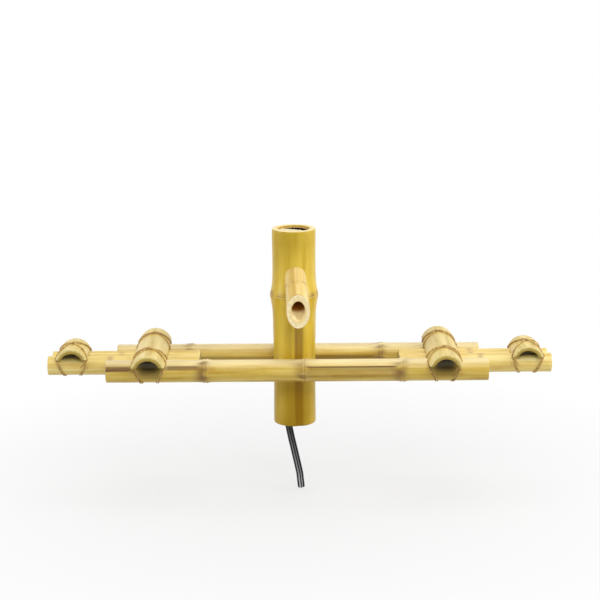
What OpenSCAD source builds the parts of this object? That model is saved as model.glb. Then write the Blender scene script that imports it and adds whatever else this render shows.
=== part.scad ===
// Pouring bamboo fountain: a hollow post with a slanted spout, clasped between two
// long arms that rest on a bowl's rim. Two shorter poles slide out of each side so
// that the base can be set to the width of the bowl. Half-round saddles hold the
// poles together, each bound with a crossed wire lashing.
// Millimetres. +X runs along the arms, +Y to the back, +Z up. The origin lies on the
// post's axis, in the plane of the rim that the long arms rest on.

/* [Post] */
// Height of the post above the rim
post_above = 227.5; // [200:0.5:260]
// Depth of the post below the rim
post_below = 77.5; // [66:0.5:110]
// Thickness of the post's wall at the arms
post_wall = 7.8; // [6:0.1:9]
// Height of the post's node ring above the rim
post_node_z = 124; // [112:1:128]
// Height that the post's node ring stands proud
post_node_h = 4.6; // [2:0.1:6]
// Width that the post gains between its arms and its node
post_swell = 0.9; // [0:0.1:2]
// Thickness of a diaphragm inside the post
post_web = 5; // [3:0.5:7]
// Depth of the top diaphragm below the rim of the post
top_web_depth = 4.5; // [2:0.5:10]

// Width of the bud groove below the post's node
post_groove_w = 10; // [6:0.5:14]
// Depth of that groove
post_groove_d = 1.3; // [0.9:0.1:2]
// Turn of that groove to the right, in degrees
post_groove_turn = 7; // [0:1:20]

/* [Spout] */
// Height at which the spout's axis would meet the post's axis
spout_z = 180; // [172:1:186]
// Slope of the spout below the horizontal, in degrees
spout_slope = 40; // [34:0.5:44]
// Turn of the spout to the right, in degrees
spout_veer = 4.5; // [0:0.5:8]
// Outer radius of the spout where it enters the post
spout_r = 16.2; // [13:0.1:18]
// Radius that the spout gains towards its mouth
spout_flare = 1.6; // [0:0.1:3]
// Radius of the spout's bore
spout_bore_r = 10.5; // [7:0.1:11.5]
// Distance from the post's axis to the middle of the spout's mouth
spout_reach = 101; // [85:1:115]
// Distance from the post's axis to the spout's inner end
spout_root = 18.5; // [14:0.5:22]
// Distance from the post's axis to the spout's node ring
spout_node_at = 57; // [50:0.5:60]
// Height that the spout's node ring stands proud
spout_node_h = 0.7; // [0.2:0.1:2]
// Lean of the mouth's cut face from upright, in degrees
mouth_lean = 6.5; // [0:0.5:15]

/* [Hose] */
// Outer radius of the hose
hose_r = 5.5; // [4:0.1:6]
// Radius of the hose's bore
hose_bore_r = 4; // [2.5:0.1:4.5]
// Length of the hose that shows its open bore at the far end
hose_mouth_len = 16; // [10:1:24]
// Height above the post's node at which the hose ends
hose_above_node = 24; // [14:1:30]
// Wall of the rubber grommet round the hose
grommet_wall = 3; // [2:0.5:4]
// Height that the grommet stands proud of its diaphragm on each side
grommet_lip = 1; // [0.5:0.1:2]

/* [Sliding poles] */
// Radius of a sliding pole
slider_r = 14.5; // [12:0.1:17]
// Wall of a sliding pole
slider_wall = 4.5; // [3:0.1:6]
// Outer end of the left front pole, from the post's axis
left_front_end = 378; // [350:1:400]
// Outer end of the left back pole, from the post's axis
left_back_end = 374; // [350:1:400]
// Outer end of the right front pole, from the post's axis
right_front_end = 394; // [365:1:415]
// Outer end of the right back pole, from the post's axis
right_back_end = 391; // [365:1:415]
// Length of a pole's inner end past the middle of the left inner saddle
left_tail_len = 74; // [70:1:110]
// Length of a pole's inner end past the middle of the right inner saddle
right_tail_len = 66; // [64:1:110]
// Height that a sliding pole's node ring stands proud
slider_node_h = 0.5; // [0.2:0.1:0.5]
// Distance from an inner saddle's middle to a front sliding pole's node
slider_node_at = 60.3; // [60:0.1:63]
// Distance that the back pole's node lies nearer than the front pole's
slider_node_step = 14.3; // [12:0.1:14.5]

/* [Long arms] */
// Left end of the front arm, from the post's axis
front_arm_left = 286; // [262:1:300]
// Right end of the front arm, from the post's axis
front_arm_right = 294; // [268:1:310]
// Left end of the back arm, from the post's axis
back_arm_left = 277; // [262:1:300]
// Right end of the back arm, from the post's axis
back_arm_right = 288; // [268:1:310]
// Wall of a long arm
arm_wall = 5.5; // [4:0.1:7]
// Height that a long arm's node ring stands proud
arm_node_h = 1.5; // [0.5:0.1:2.2]
// Middle node of the front arm, to the right of the post's axis
front_node_x = 13.6; // [8:0.1:20]
// Middle node of the back arm, to the right of the post's axis
back_node_x = -14; // [-20:0.1:20]
// Distance between two nodes of a long arm
internode = 149.5; // [144:0.5:152]
// Thickness of a diaphragm inside a long arm
arm_web = 4; // [2:0.5:6]
// Width of the front arm's bud groove, right of its middle node
arm_groove_w = 12.6; // [8:0.1:14]
// Depth of that groove
arm_groove_d = 1.9; // [1.5:0.1:2.2]
// Height of that groove above the arm's side, as an angle
arm_groove_turn = 12; // [0:1:30]
// Distance from the middle node to where that groove has its full depth
arm_groove_start = 12; // [10:0.5:20]
// Distance from the right node to where that groove loses its full depth
arm_groove_stop = 14; // [10:0.5:20]
// Depth to which each long arm is hollowed to clasp the post
clasp = 0.5; // [0.2:0.1:2]
// Radius of the dowel that pins both arms to the post
dowel_r = 4; // [2.5:0.1:4.6]

/* [Saddles] */
// Middle of the left inner saddle, from the post's axis
left_saddle_x = 220; // [205:1:235]
// Middle of the right inner saddle, from the post's axis
right_saddle_x = 227; // [215:1:240]
// Width of an inner saddle
saddle_w = 50; // [44:0.5:54]
// Rise of an inner saddle above its edges
saddle_rise = 18.5; // [14:0.1:22]
// Thickness of an inner saddle
saddle_wall = 7.8; // [5:0.1:8]
// Length of an inner saddle past the front arm
saddle_front = 25.5; // [15:0.5:35]
// Length of an inner saddle past the back arm
saddle_back = 22; // [10:0.5:30]
// Width of an outer saddle
outer_w = 47.5; // [42:0.5:52]
// Rise of an outer saddle above its edges
outer_rise = 17.2; // [13:0.1:20]
// Thickness of an outer saddle
outer_wall = 7.6; // [5:0.1:8]
// Length of an outer saddle past the poles on each side
outer_over = 5.3; // [4:0.1:9]
// Distance from a front pole's outer end to the middle of its saddle
outer_inset = 37.2; // [30:0.1:45]
// Depth to which a saddle's edges are notched over the poles
notch = 1; // [0.5:0.1:2]

/* [Keeper slats] */
// Width of a slat that holds the sliding poles' inner ends up
slat_w = 16; // [10:0.5:20]
// Thickness of a slat
slat_t = 2.8; // [2:0.1:5]
// Distance from an inner saddle's middle to its slat
slat_at = 34; // [30:0.5:40]
// Length of a slat past the inner side of each long arm
slat_over = 9.5; // [7:0.1:11]
// Radius of a brad
brad_r = 0.8; // [0.5:0.1:1]
// Length of a brad
brad_len = 8.2; // [6:0.1:8.6]

/* [Lashings] */
// Diameter of the wire
wire_d = 1.2; // [0.8:0.1:1.6]
// Distance between neighbouring turns of the wire, from middle to middle
wire_pitch = 2.7; // [2.2:0.1:2.8]
// Height that the wire rises where two turns cross
wire_hop = 2.1; // [2:0.1:3]
// Half the distance between the wire's legs under a pole
wire_foot = 11; // [8:0.5:16]
// Half the width of the cross on top of an inner saddle
cross_half = 14; // [10:0.5:16]
// Length of the wire's free ends
wire_tail = 6; // [3:0.5:9]

/* [Clearances] */
// Gap between pieces that are fixed to each other
fit = 0.05; // [0.03:0.01:0.1]
// Gap between the wire and the poles
wire_gap = 0.3; // [0.2:0.05:0.5]
// Gap between a sliding pole and its slat or saddle
slide_gap = 0.5; // [0.3:0.05:0.8]
// Gap between a sliding pole and a lashing that it passes
pass_gap = 0.7; // [0.65:0.05:1.5]
// Gap between two sliding poles that lie side by side
pair_gap = 0.6; // [0.55:0.05:0.9]
// Height of the slats' undersides above the rim
slat_lift = 0.2; // [0.1:0.05:0.5]

/* [Hidden] */
$fn = 96;

// Length by which a cutting solid runs past what it cuts
past = 1;
// Size of the softened edge at a sawn end
ease = 0.7;
// Size of the softened edges at the ends of the hose's bore
hose_lip = 0.4;

// Facets keep the wire this far further out, so that a chord clears a round pole
wire_sag = 0.3;
wire_r = wire_d / 2;
wire_out = wire_gap + wire_r + wire_sag;

// Vertical stack: slat, sliding pole, saddle edge
slat_top = slat_lift + slat_t;
slider_z = slat_top + slide_gap + slider_r;
saddle_edge_z = slider_z + slider_r + slide_gap;
arm_r = (saddle_edge_z + notch) / 2;
outer_edge_z = slider_z + slider_r - notch;

// Sideways stack: two sliding poles, a lashing's thickness, a long arm
slider_y = slider_r + pair_gap / 2;
pair_half = slider_y + slider_r;
arm_inner_y = pair_half + pass_gap + wire_gap + wire_d;
arm_y = arm_inner_y + arm_r;
arm_z = arm_r;
post_r = arm_inner_y + clasp;
post_bore_r = post_r - post_wall;

left_front_saddle_x = left_front_end - outer_inset;
right_front_saddle_x = right_front_end - outer_inset;
left_slat_x = -(left_saddle_x - slat_at);
right_slat_x = right_saddle_x - slat_at;

// The long arms' node rings, from the post's axis
FRONT_ARM_NODES = [front_node_x - internode, front_node_x, front_node_x + internode];
BACK_ARM_NODES = [back_node_x - internode, back_node_x, back_node_x + internode];

// Shape of a node: distance along the pole, share of the ring's height
NODE_SHAPE = [
    [-13, 0], [-6, 0.2], [-2.8, 0.45], [-1.5, 0.95], [-0.6, 0.9], [0.2, 0.35],
    [1.2, 0.6], [3, 1], [5, 0.7], [8.5, 0.22], [13, 0]
];
// The sliding poles' nodes are shorter, so that they stop at the saddles
SLIM_NODE_SHAPE = [[-8, 0], [-3, 0.4], [-1.2, 1], [0, 0.5], [1.6, 0.9], [4, 0.35], [8, 0]];

// Rubber hose
hose_x = -11.4;
riser_foot_z = -62;
riser_top_z = post_node_z + hose_above_node;
grommet_r = hose_r + grommet_wall;
// Middle line of the hanging hose, as x and z
HOSE_ROUTE = [
    [-11.4, -62], [-11.4, -70], [-10.5, -80], [-8.4, -91], [-5.4, -106],
    [-2, -121], [1.5, -137], [5.1, -153.6], [6.93784, -163], [7.6, -169.3]
];
hose_end_slope = 6;

// Spout frame: its own z axis runs from the post's axis out to the mouth
module along_spout() {
    translate([0, 0, spout_z])
        rotate([0, 0, spout_veer])
            rotate([90 + spout_slope, 0, 0])
                children();
}

// A pole along X, from x0 to x1, with node rings; grow widens it for cutting
function pole_outline(x0, x1, r, nodes, ring, shape, soft) = concat(
    [[0, x0], [r - soft, x0], [r, x0 + soft]],
    [for (n = nodes) for (s = shape) [r + s[1] * ring, n + s[0]]],
    [[r, x1 - soft], [r - soft, x1], [0, x1]]
);

module lie_along_x() {
    rotate([0, 90, 0])
        children();
}

module pole_skin(x0, x1, r, nodes, ring, shape, grow = 0, soft = ease) {
    lie_along_x()
        rotate_extrude()
            polygon(pole_outline(x0 - grow, x1 + grow, r + grow, nodes, ring, shape, soft));
}

// The hollow stretches between the nodes; the two end stretches are open
module pole_hollows(x0, x1, r, nodes) {
    stops = concat([x0 - past - arm_web / 2], nodes, [x1 + past + arm_web / 2]);
    for (i = [0 : len(stops) - 2])
        translate([stops[i] + arm_web / 2, 0, 0])
            lie_along_x()
                cylinder(r = r, h = stops[i + 1] - stops[i] - arm_web);
}

module place_arm(side) {
    translate([0, side * arm_y, arm_z])
        children();
}

module arm_skin(side, grow) {
    place_arm(side)
        if (side < 0)
            pole_skin(-front_arm_left, front_arm_right, arm_r, FRONT_ARM_NODES,
                arm_node_h, NODE_SHAPE, grow);
        else
            pole_skin(-back_arm_left, back_arm_right, arm_r, BACK_ARM_NODES,
                arm_node_h, NODE_SHAPE, grow);
}

module arm_hollows(side) {
    place_arm(side)
        if (side < 0)
            pole_hollows(-front_arm_left, front_arm_right, arm_r - arm_wall, FRONT_ARM_NODES);
        else
            pole_hollows(-back_arm_left, back_arm_right, arm_r - arm_wall, BACK_ARM_NODES);
}

// The dowel runs from the back arm's outer side into the front arm's hollow
module dowel_shape(grow) {
    front_y = -(arm_inner_y + arm_wall + 2);
    back_y = arm_y + sqrt(pow(arm_r, 2) - pow(dowel_r, 2));
    translate([0, back_y + (grow > 0 ? past : 0), arm_z])
        rotate([90, 0, 0])
            cylinder(r = dowel_r + grow, h = back_y - front_y + 2 * (grow > 0 ? past : 0));
}

// The front arm's bud groove runs from its middle node to its right one
module front_groove() {
    place_arm(-1)
        lie_along_x()
            bud_groove(arm_r, arm_groove_w, arm_groove_d, front_node_x + arm_groove_start,
                front_node_x + internode - arm_groove_stop, -90 - arm_groove_turn);
}

module long_arm(side) {
    difference() {
        arm_skin(side, 0);
        arm_hollows(side);
        if (side < 0)
            front_groove();
        translate([0, 0, -post_below])
            cylinder(r = post_r + fit, h = post_below + post_above);
        dowel_shape(fit);
        for (x = [left_slat_x, right_slat_x])
            brad_pair(x, side, fit);
    }
}

// Post: outer radius by height, as steps from the radius at the arms
function post_outline() = [
    [0, -post_below],
    [post_r - 1.2, -post_below],
    [post_r - 0.2, -post_below + 0.6],
    [post_r + 0.4, -post_below + 2.2],
    [post_r + 0.4, -post_below + 20],
    [post_r, -post_below + 50],
    [post_r, 2 * arm_r + 8],
    [post_r + post_swell * 0.6, post_node_z - 64],
    [post_r + post_swell, post_node_z - 39],
    [post_r + post_swell + 0.08 * post_node_h, post_node_z - 26],
    [post_r + post_swell + 0.42 * post_node_h, post_node_z - 13],
    [post_r + post_swell + 0.62 * post_node_h, post_node_z - 6],
    [post_r + post_swell + 0.82 * post_node_h, post_node_z - 2.4],
    [post_r + post_swell + 0.86 * post_node_h, post_node_z - 1],
    [post_r + post_swell + 0.7 * post_node_h, post_node_z - 0.2],
    [post_r + post_swell + 0.74 * post_node_h, post_node_z + 0.7],
    [post_r + post_swell + post_node_h * 0.9, post_node_z + 2.2],
    [post_r + post_swell + post_node_h * 0.84, post_node_z + 5],
    [post_r + post_swell + 0.5 * post_node_h, post_node_z + 12],
    [post_r + post_swell + 0.12 * post_node_h, post_node_z + 25],
    [post_r + post_swell, post_node_z + 38],
    [post_r + post_swell, post_above - 40],
    [post_r + 1.5 * post_swell, post_above - 14],
    [post_r + 1.2 * post_swell, post_above - ease],
    [post_r + 1.2 * post_swell - ease, post_above],
    [0, post_above]
];

// Radius of a cylinder that bites a groove of width w and depth d into a pole of radius r
function groove_cutter(r, w, d) =
    let (rest = d - r + sqrt(pow(r, 2) - pow(w / 2, 2)))
    (pow(w / 2, 2) + pow(rest, 2)) / (2 * rest);

// Cutter of a bud groove along the pole's own z axis, at an angle round it. Its ends
// run out in a curve.
module bud_groove(r, w, d, z0, z1, turn) {
    c = groove_cutter(r, w, d);
    rotate([0, 0, turn])
        translate([r - d + c, 0, 0]) {
            translate([0, 0, z0])
                cylinder(r = c, h = z1 - z0);
            for (z = [z0, z1])
                translate([0, 0, z])
                    sphere(r = c);
        }
}

// The post's bud groove runs down from its node, on the front and a little to the right
module post_groove() {
    bud_groove(post_r, post_groove_w, post_groove_d, -2 * post_below,
        post_node_z - 2 * post_groove_w, post_groove_turn - 90);
}

// The broken part of the top diaphragm: a crescent with a ragged inner edge
module top_break(z0, h) {
    bite_r = 4;
    translate([0, 0, z0]) {
        difference() {
            cylinder(r = post_bore_r - 1.6, h = h);
            translate([-4.5, -9, -past])
                cylinder(r = post_bore_r - 3.4, h = h + 2 * past);
        }
        for (a = [28, 62, 101])
            rotate([0, 0, a])
                translate([post_bore_r - 9.5, 0, 0])
                    cylinder(r = bite_r, h = h, $fn = 5);
    }
}

module post() {
    node_web_z = post_node_z - post_web / 2;
    top_web_z = post_above - top_web_depth - post_web;
    color("#C8AA4B")
    difference() {
        rotate_extrude()
            polygon(post_outline());
        translate([0, 0, -post_below - past])
            cylinder(r = post_bore_r, h = node_web_z + post_below + past);
        translate([0, 0, node_web_z + post_web])
            cylinder(r = post_bore_r, h = top_web_z - node_web_z - post_web);
        translate([0, 0, top_web_z + post_web])
            cylinder(r = post_bore_r, h = top_web_depth + past);
        top_break(top_web_z - past, post_web + 2 * past);
        along_spout()
            rotate_extrude()
                polygon(spout_seat());
        dowel_shape(fit);
        translate([hose_x, 0, node_web_z - past])
            cylinder(r = grommet_r - grommet_lip, h = post_web + 2 * past);
        post_groove();
    }
}

// Spout: plain through the post's wall, then a node ring and a slight flare. It is
// made longer by mouth_spare, and its mouth is then sawn across.
mouth_spare = 45;
// Angle between the mouth's face and a square cut
mouth_tilt = spout_slope + mouth_lean;
function spout_outline() = [
    [0, spout_root],
    [spout_r - ease, spout_root],
    [spout_r, spout_root + ease],
    [spout_r, spout_node_at - 5],
    [spout_r + 0.9 * spout_node_h, spout_node_at - 1.2],
    [spout_r + 0.4 * spout_node_h, spout_node_at],
    [spout_r + spout_node_h, spout_node_at + 1.4],
    [spout_r + spout_flare * 0.4, spout_node_at + 8],
    [spout_r + spout_flare, spout_reach],
    [spout_r + spout_flare, spout_reach + mouth_spare],
    [0, spout_reach + mouth_spare]
];

// The hole that the post is bored with for the spout: as wide as the spout is up to there
function spout_seat() = [
    [0, spout_root],
    [spout_r + fit, spout_root],
    [spout_r + fit, spout_node_at - 5 - fit],
    [spout_r + spout_node_h + fit, spout_node_at - 1.2 - fit],
    [spout_r + spout_node_h + fit, spout_node_at + 8 - fit],
    [spout_r + spout_flare + fit, spout_reach],
    [0, spout_reach]
];

module spout() {
    cut = 4 * mouth_spare;
    color("#EBD27E")
    along_spout()
        difference() {
            rotate([0, 0, 45])
                rotate_extrude()
                    polygon(spout_outline());
            translate([0, 0, spout_root - past])
                rotate([0, 0, 135])
                    cylinder(r = spout_bore_r, h = spout_reach + mouth_spare);
            // The mouth is sawn nearly upright
            translate([0, 0, spout_reach])
                rotate([-mouth_tilt, 0, 0])
                    translate([-cut / 2, -cut / 2, 0])
                        cube([cut, cut, cut]);
        }
}

module hose_riser() {
    color("#1A1A1A")
    translate([hose_x, 0, riser_foot_z])
        difference() {
            cylinder(r = hose_r, h = riser_top_z - riser_foot_z);
            translate([0, 0, -past])
                cylinder(r = hose_bore_r, h = riser_top_z - riser_foot_z + 2 * past);
        }
}

// Grooved ring that seals the hose in the post's node diaphragm
module riser_grommet() {
    ring_h = post_web + 2 * grommet_lip;
    neck_r = grommet_r - grommet_lip - fit;
    color("#2E2E2E")
    translate([hose_x, 0, post_node_z])
        rotate_extrude()
            polygon([
                [hose_r + fit, -ring_h / 2], [grommet_r, -ring_h / 2],
                [grommet_r, -post_web / 2 - fit], [neck_r, -post_web / 2 - fit],
                [neck_r, post_web / 2 + fit], [grommet_r, post_web / 2 + fit],
                [grommet_r, ring_h / 2], [hose_r + fit, ring_h / 2]
            ]);
}

function unit(v) = v / norm(v);

// Rings of a tube along points p; n gives a direction that stays off the path
function tube_points(p, n, r, sides) = [
    for (i = [0 : len(p) - 1])
        let (
            t = unit(p[min(i + 1, len(p) - 1)] - p[max(i - 1, 0)]),
            b = unit(cross(t, n[i])),
            m = cross(b, t)
        )
        for (k = [0 : sides - 1])
            p[i] + r * (cos(360 * k / sides) * m + sin(360 * k / sides) * b)
];

function tube_faces(count, sides) = concat(
    [for (k = [1 : sides - 2]) [0, k, k + 1]],
    [for (i = [0 : count - 2]) for (k = [0 : sides - 1])
        [i * sides + k, (i + 1) * sides + k, (i + 1) * sides + (k + 1) % sides]],
    [for (i = [0 : count - 2]) for (k = [0 : sides - 1])
        [i * sides + k, (i + 1) * sides + (k + 1) % sides, i * sides + (k + 1) % sides]],
    [for (k = [1 : sides - 2])
        [(count - 1) * sides, (count - 1) * sides + k + 1, (count - 1) * sides + k]]
);

module tube(p, n, r, sides) {
    polyhedron(tube_points(p, n, r, sides), tube_faces(len(p), sides));
}

module hose_tail() {
    p = [for (q = HOSE_ROUTE) [q[0], 0, q[1]]];
    color("#1A1A1A")
    tube(p, [for (q = p) [0, 1, 0]], hose_r, 10);
}

module hose_mouth() {
    last = HOSE_ROUTE[len(HOSE_ROUTE) - 1];
    color("#1A1A1A")
    translate([last[0], 0, last[1]])
        rotate([0, 180 - hose_end_slope, 0])
            translate([0, 0, fit])
                rotate_extrude()
                    polygon([
                        [hose_bore_r + hose_lip, 0], [hose_r, 0],
                        [hose_r, hose_mouth_len], [hose_bore_r + hose_lip, hose_mouth_len],
                        [hose_bore_r, hose_mouth_len - hose_lip], [hose_bore_r, hose_lip]
                    ]);
}

module front_arm() {
    color("#D9BE62")
    long_arm(-1);
}

module back_arm() {
    color("#D9BE62")
    long_arm(1);
}

module cross_dowel() {
    color("#A98752")
    dowel_shape(0);
}

// Radius of an arc that spans width w with rise h
function arc_radius(w, h) = (pow(w / 2, 2) + pow(h, 2)) / (2 * h);

// Half-round saddle along Y, hollow side down, its edges at height edge_z
module saddle_shell(w, rise, wall, y0, y1, edge_z) {
    r = arc_radius(w, rise);
    axis_z = edge_z + rise - r;
    difference() {
        translate([0, y1, axis_z])
            rotate([90, 0, 0])
                rotate_extrude()
                    polygon([
                        [r - wall, 0], [r - ease, 0], [r, ease],
                        [r, y1 - y0 - ease], [r - ease, y1 - y0], [r - wall, y1 - y0]
                    ]);
        translate([-r - past, y0 - past, axis_z - r - past])
            cube([2 * (r + past), y1 - y0 + 2 * past, edge_z - axis_z + r + past]);
    }
}

module inner_saddle(x) {
    color("#E5D07E")
    difference() {
        translate([x, 0, 0])
            saddle_shell(saddle_w, saddle_rise, saddle_wall,
                -(arm_y + arm_r + saddle_front), arm_y + arm_r + saddle_back, saddle_edge_z);
        arm_skin(-1, fit);
        arm_skin(1, fit);
    }
}

module outer_saddle(side, x) {
    color("#E5D07E")
    difference() {
        translate([side * x, 0, 0])
            saddle_shell(outer_w, outer_rise, outer_wall,
                -(pair_half + outer_over), pair_half + outer_over, outer_edge_z);
        for (y = [-slider_y, slider_y])
            translate([side * x - outer_w, y, slider_z])
                lie_along_x()
                    cylinder(r = slider_r + fit, h = 2 * outer_w);
    }
}

module left_inner_saddle() {
    inner_saddle(-left_saddle_x);
}

module right_inner_saddle() {
    inner_saddle(right_saddle_x);
}

module left_outer_saddle() {
    outer_saddle(-1, left_front_saddle_x);
}

module right_outer_saddle() {
    outer_saddle(1, right_front_saddle_x);
}

module sliding_pole(side, y_side, inner, outer, ring_at) {
    x0 = side < 0 ? -outer : inner;
    x1 = side < 0 ? -inner : outer;
    nodes = [side * ring_at];
    color("#E8D58E")
    translate([0, y_side * slider_y, slider_z])
        difference() {
            pole_skin(x0, x1, slider_r, nodes, slider_node_h, SLIM_NODE_SHAPE);
            pole_hollows(x0, x1, slider_r - slider_wall, nodes);
        }
}

module left_front_slider() {
    sliding_pole(-1, -1, left_saddle_x - left_tail_len, left_front_end,
        left_saddle_x + slider_node_at);
}

module left_back_slider() {
    sliding_pole(-1, 1, left_saddle_x - left_tail_len, left_back_end,
        left_saddle_x + slider_node_at - slider_node_step);
}

module right_front_slider() {
    sliding_pole(1, -1, right_saddle_x - right_tail_len, right_front_end,
        right_saddle_x + slider_node_at);
}

module right_back_slider() {
    sliding_pole(1, 1, right_saddle_x - right_tail_len, right_back_end,
        right_saddle_x + slider_node_at - slider_node_step);
}

// Keeper slats: strips under the sliding poles, nailed into the long arms' undersides
slat_half = arm_inner_y + slat_over;
brad_y = slat_half - 1.8;
brad_head_r = 2 * brad_r;
brad_head_t = 0.6;
brad_x = slat_w / 4;

module brad_pair(x, side, grow) {
    for (dx = [-brad_x, brad_x])
        translate([x + dx, side * brad_y, slat_lift - grow]) {
            cylinder(r = brad_r + grow, h = brad_len + 2 * grow);
            cylinder(r = brad_head_r + grow, h = brad_head_t + 2 * grow);
        }
}

module keeper_slat(x) {
    color("#CDB469")
    difference() {
        translate([x - slat_w / 2, -slat_half, slat_lift])
            cube([slat_w, 2 * slat_half, slat_t]);
        arm_skin(-1, fit);
        arm_skin(1, fit);
        for (side = [-1, 1])
            translate([0, 0, -past])
                brad_pair(x, side, fit);
        for (side = [-1, 1])
            brad_pair(x, side, fit);
    }
}

module left_keeper_slat() {
    keeper_slat(left_slat_x);
}

module right_keeper_slat() {
    keeper_slat(right_slat_x);
}

module keeper_brads(x) {
    color("#8C8C88")
    for (side = [-1, 1])
        brad_pair(x, side, 0);
}

module left_keeper_brads() {
    keeper_brads(left_slat_x);
}

module right_keeper_brads() {
    keeper_brads(right_slat_x);
}

// Lashings. Each is one wire that goes four times round a pole and the saddle on it:
// slantwise over the saddle, down behind, under the pole and up in front, with the
// slant changing sides each time, so that the turns cross on top. The turns drift
// sideways by one pitch in two times round, and hop over the others at the cross.
lash_turns = 4;
top_steps = 9;
belly_steps = 5;
slant = 1.1;
leg_off = 0.4;

// Values of a lashing: [saddle r, saddle axis z, edge angle, cross half, pole r, pole z,
// half gap, how far the legs stand off]
function lash_kind(w, rise, edge_z, cross, r, z, h, off) =
    let (big = arc_radius(w, rise))
    [big + wire_out, edge_z + rise - big, asin(w / 2 / big), cross, r + wire_out, z, h, off];

INNER_LASH = lash_kind(saddle_w, saddle_rise, saddle_edge_z, cross_half, arm_r, arm_z, 0,
    leg_off);
OUTER_LASH = lash_kind(outer_w, outer_rise, outer_edge_z, pair_half - 2, slider_r,
    slider_z, slider_y, leg_off);

// Height at which the wire leaves the saddle's edge, and the lowest height
function edge_high(k) = k[1] + k[0] * cos(k[2]);
function edge_wide(k) = k[0] * sin(k[2]);
// Angle at which the wire meets the pole's side, tangent from the saddle's edge
function side_angle(k) =
    let (dy = k[3] - k[6], dz = edge_high(k) - k[5])
    atan2(dz, dy) - acos(min(1, k[4] / norm([dy, dz])));
// Distance of a leg from the saddle's middle, by height
function leg_x(k, z) =
    wire_foot + (edge_wide(k) - wire_foot) * (z - k[5] + k[4]) / (edge_high(k) - k[5] + k[4]);

// Each station gives a point and the outward direction there
function top_station(k, dir, u, off, hop) =
    let (a = u * k[2], r = k[0] + hop)
    [[dir * r * sin(a), u * k[3] + dir * off * slant, k[1] + r * cos(a)],
     [dir * sin(a), 0, cos(a)]];

// Angle a lies on the back pole from its side to -90 and on the front pole from there on
function belly_station(k, dir, a, off, back) =
    let (z = k[5] + k[4] * sin(a))
    [[dir * leg_x(k, z) - off, back * k[6] + k[4] * cos(a), z], [0, cos(a), sin(a)]];

// Halfway down from the saddle's edge to the pole's side
function leg_station(k, dir, back, off) =
    let (
        a = side_angle(k),
        y = (k[3] + k[6] + k[4] * cos(a)) / 2 + k[7],
        z = (edge_high(k) + k[5] + k[4] * sin(a)) / 2,
        turn = sqrt(0.5)
    )
    [[dir * leg_x(k, z) - turn * off, back * y + back * dir * turn * off * slant, z],
     [dir * 0.5, back, 0.2]];

function one_turn(k, dir, off0, off1) =
    let (a = side_angle(k), mid = (off0 + off1) / 2)
    concat(
        [for (i = [0 : top_steps])
            let (u = -1 + 2 * i / top_steps)
            top_station(k, dir, u, off0 + (mid - off0) * i / top_steps,
                dir < 0 && abs(u) < 0.2 ? wire_hop : 0)],
        [leg_station(k, dir, 1, mid)],
        [for (i = [0 : belly_steps])
            belly_station(k, dir, a - (90 + a) * i / belly_steps,
                mid + (off1 - mid) * i / belly_steps / 2, 1)],
        // Under a single pole, both halves share the lowest station
        [for (i = [(k[6] > 0 ? 0 : 1) : belly_steps])
            belly_station(k, dir, -90 - (90 + a) * i / belly_steps,
                mid + (off1 - mid) * (1 + i / belly_steps) / 2, -1)]
    );

// The wire starts on the pole's front and, after its turns, comes back up there. Both
// ends stand off the pole, one to each side.
function lash_stations(k) =
    let (
        drift = wire_pitch / 2,
        a = -180 - side_angle(k),
        start = belly_station(k, -1, a, -2 * drift, -1),
        end = belly_station(k, -1, a, 2 * drift, -1)
    )
    concat(
        [[start[0] + wire_tail * [0.5, -0.8, -0.3], [0, 0.3, 1]]],
        [start],
        [for (t = [0 : lash_turns - 1])
            let (dir = t % 2 == 0 ? 1 : -1)
            for (s = concat([leg_station(k, -dir, -1, (t - 2) * drift)],
                one_turn(k, dir, (t - 2) * drift, (t - 1) * drift))) s],
        [[end[0] + wire_tail * [-0.5, -0.8, -0.3], [0, 0.3, 1]]]
    );

// Least distance between stretches of the wire that don't follow each other
function fine_line(p, parts) = [
    for (i = [0 : len(p) - 2]) for (j = [0 : parts - 1])
        p[i] + (p[i + 1] - p[i]) * j / parts
];
function least_gap(p, skip) = min([
    for (i = [0 : len(p) - 1 - skip])
        min([for (j = [i + skip : len(p) - 1]) norm(p[i] - p[j])])
]) - wire_d;

// flip turns the slant over; back turns the free end to the back
module lashing(k, x, y, flip, back = false) {
    stations = lash_stations(k);
    line = [for (s = stations) s[0]];
    color("#C9B060")
    translate([x, y, 0])
        rotate([0, 0, back ? 180 : 0])
            mirror([flip ? 1 : 0, 0, 0])
                tube(line, [for (s = stations) s[1]], wire_r, 6);
    echo(least_gap_of_wire = least_gap(fine_line(line, 4), 9));
}

module left_front_lashing() {
    lashing(INNER_LASH, -left_saddle_x, -arm_y, false);
}

module left_back_lashing() {
    lashing(INNER_LASH, -left_saddle_x, arm_y, true, true);
}

module right_front_lashing() {
    lashing(INNER_LASH, right_saddle_x, -arm_y, true);
}

module right_back_lashing() {
    lashing(INNER_LASH, right_saddle_x, arm_y, false, true);
}

module left_outer_lashing() {
    lashing(OUTER_LASH, -left_front_saddle_x, 0, true);
}

module right_outer_lashing() {
    lashing(OUTER_LASH, right_front_saddle_x, 0, false);
}

post();
spout();
hose_riser();
riser_grommet();
hose_tail();
hose_mouth();
front_arm();
back_arm();
cross_dowel();
left_inner_saddle();
right_inner_saddle();
left_front_lashing();
left_back_lashing();
right_front_lashing();
right_back_lashing();
left_keeper_slat();
right_keeper_slat();
left_keeper_brads();
right_keeper_brads();
left_front_slider();
left_back_slider();
left_outer_saddle();
left_outer_lashing();
right_front_slider();
right_back_slider();
right_outer_saddle();
right_outer_lashing();
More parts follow.
